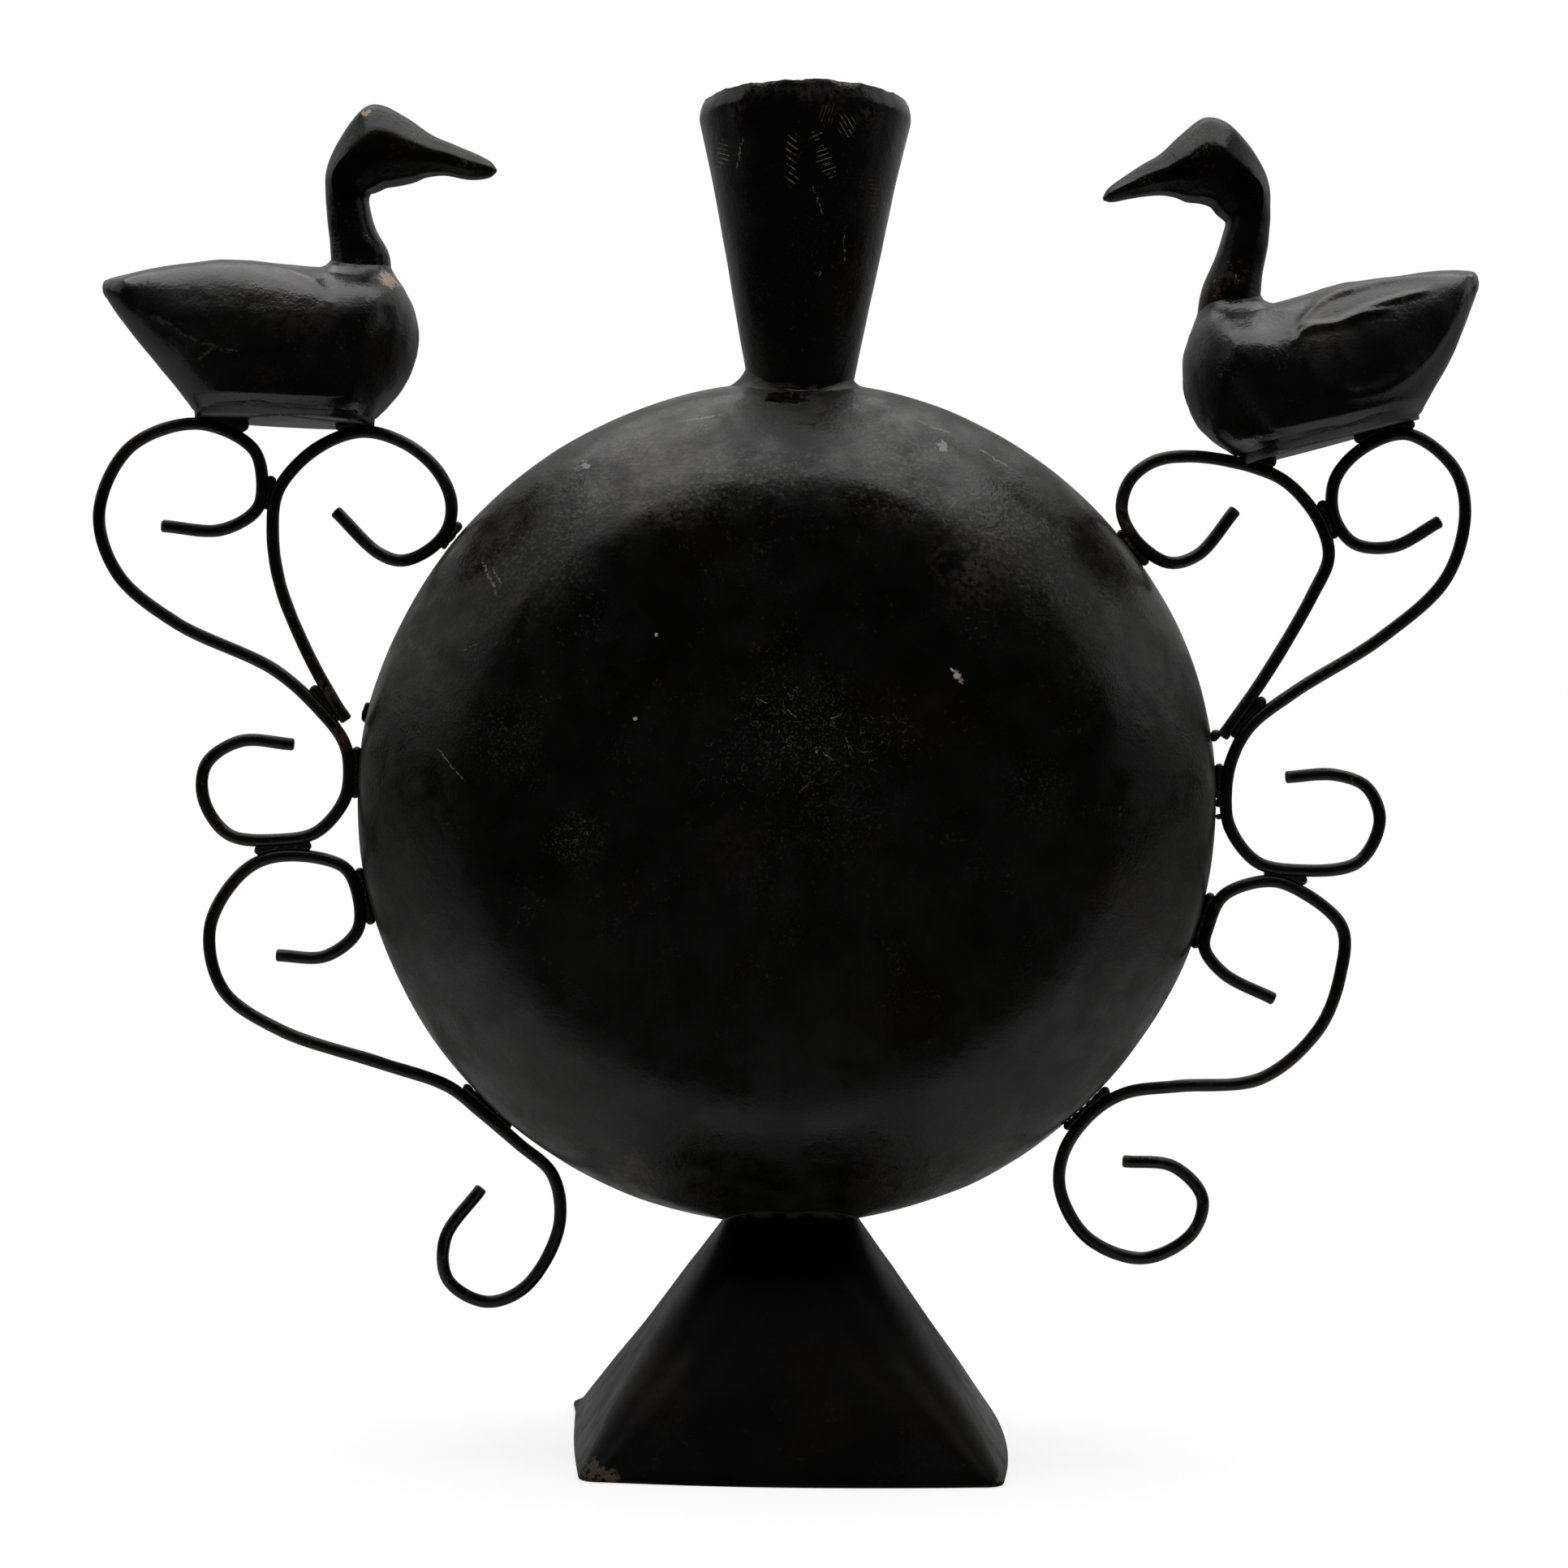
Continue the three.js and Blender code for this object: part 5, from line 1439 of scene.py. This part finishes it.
for index, (name, (place, rod, other)) in enumerate(WELDS.items()):
    if other == "rim":
        target, radius, fill = rim, 0, RIM_WELD_FILL
    elif other == "plate":
        target, radius, fill = plates[name.split("_")[0]], 0, PLATE_WELD_FILL
    else:
        target, radius, fill = lines[other], ROD_RADIUS, ROD_WELD_FILL
    mesh = weld_mesh(lumps_between(lines[rod], target, radius, place, fill), 2 * index)
    add_piece(f"{name}_metal", mesh, weld_metal, [name])
left_over = [(at(LEFT_BROKEN_RIM + turn, 0.2), 1.3 - 0.25 * abs(turn)) for turn in (-1.1, -0.5, 0, 0.6)]
broken = weld_mesh(left_over, 60)
add_piece("left_broken_weld_metal", broken, weld_metal, ["left_broken_weld"])


# Camera, light and floor

scene = bpy.context.scene
camera_data = bpy.data.cameras.new("camera")
camera_data.lens = 82.2
camera_data.sensor_width = 36
camera_data.clip_start = 0.01
camera = linked("camera", camera_data)
camera.location = (-0.00087, -0.9108, 0.1683)
camera.rotation_euler = (math.radians(90), math.radians(-0.7), 0)
scene.camera = camera

# Lamps: place, turn about the depth in degrees, width, depth and power
SOFTBOXES = {
    "overhead": ((0, 0.11, 1.3), 0, 1.6, 1.1, 10.2),
    "upper_right": ((1.2, 0.15, 0.85), 55, 0.9, 1.0, 1.5),
    "upper_left": ((-1.2, 0.15, 0.85), -55, 0.9, 1.0, 1.2),
}
for name, (place, turn, width, depth, power) in SOFTBOXES.items():
    softbox = bpy.data.lights.new(name, "AREA")
    softbox.shape = "RECTANGLE"
    softbox.size = width
    softbox.size_y = depth
    softbox.energy = power
    lamp = linked(name, softbox)
    lamp.location = place
    lamp.rotation_euler = (0, math.radians(turn), 0)
    lamp.visible_camera = False

# The camera sees a white world. Gloss shows a dark room with a pale wall behind the object.
scene.world = bpy.data.worlds.new("studio")
sky = Nodes(scene.world)
path = sky.add("LightPath").node.outputs
direction = sky.parts(sky.add("TexCoord", output="Generated"))
behind = sky.ramp(direction["Y"], 0.25, 0.6, 0.003, 0.36, "LINEAR")
above = sky.ramp(direction["Z"], 0.0, 0.5, 0.6, 1.6, "LINEAR")
shine, ambient, white = (
    sky.add("Background", {"Color": WHITE, "Strength": strength})
    for strength in (sky.math("MULTIPLY", behind, above), 0.55, 1.0)
)
unseen = sky.add("MixShader", {0: path["Is Glossy Ray"], 1: ambient, 2: shine})
seen = sky.math("MAXIMUM", path["Is Camera Ray"], path["Is Transmission Ray"])
sky.add("OutputWorld", {"Surface": sky.add("MixShader", {0: seen, 1: unseen, 2: white})})


def floor_material():
    """A pale floor that the camera sees as white away from the object, and with its shadow near it."""
    material = bpy.data.materials.new("pale_floor")
    nodes = Nodes(material)
    to_camera = nodes.add("LightPath", output="Is Camera Ray")
    place = nodes.add("NewGeometry", output="Position")
    distance = nodes.add("VectorMath", {0: place}, "Value", operation="LENGTH")
    far = nodes.math("MULTIPLY", nodes.ramp(distance, 0.16, 0.4), to_camera)
    # Gloss and bounced light see painted shade and light on the floor: nearly black in front, paler near the
    # object.
    under = nodes.ramp(distance, 0.25, 0.5, 0.45, 0.2)
    lit = nodes.ramp(nodes.parts(place)["Y"], -0.22, -0.09, 0.015, under)
    tone = nodes.ramp(to_camera, 0.0, 1.0, lit, 0.35, "LINEAR")
    diffuse = nodes.add("BsdfDiffuse", {"Color": tone})
    glow = nodes.add("Emission", {"Color": WHITE, "Strength": nodes.math("MULTIPLY", to_camera, 0.72)})
    near = nodes.add("AddShader", {0: diffuse, 1: glow})
    white = nodes.add("Emission", {"Color": WHITE, "Strength": 1.0})
    nodes.add("OutputMaterial", {"Surface": nodes.add("MixShader", {0: far, 1: near, 2: white})})
    return material


FLOOR_RADIUS = 5
FLOOR_SIDES = 64
turns = turns_of(FLOOR_SIDES)
floor_edge = np.column_stack([np.cos(turns), np.sin(turns), np.full(FLOOR_SIDES, FLOOR)])
floor_mesh = bpy.data.meshes.new("floor")
floor_mesh.from_pydata((FLOOR_RADIUS * floor_edge).tolist(), [], [tuple(range(FLOOR_SIDES))])
floor_mesh.materials.append(floor_material())
floor = linked("floor", floor_mesh)

scene.view_settings.view_transform = "Standard"
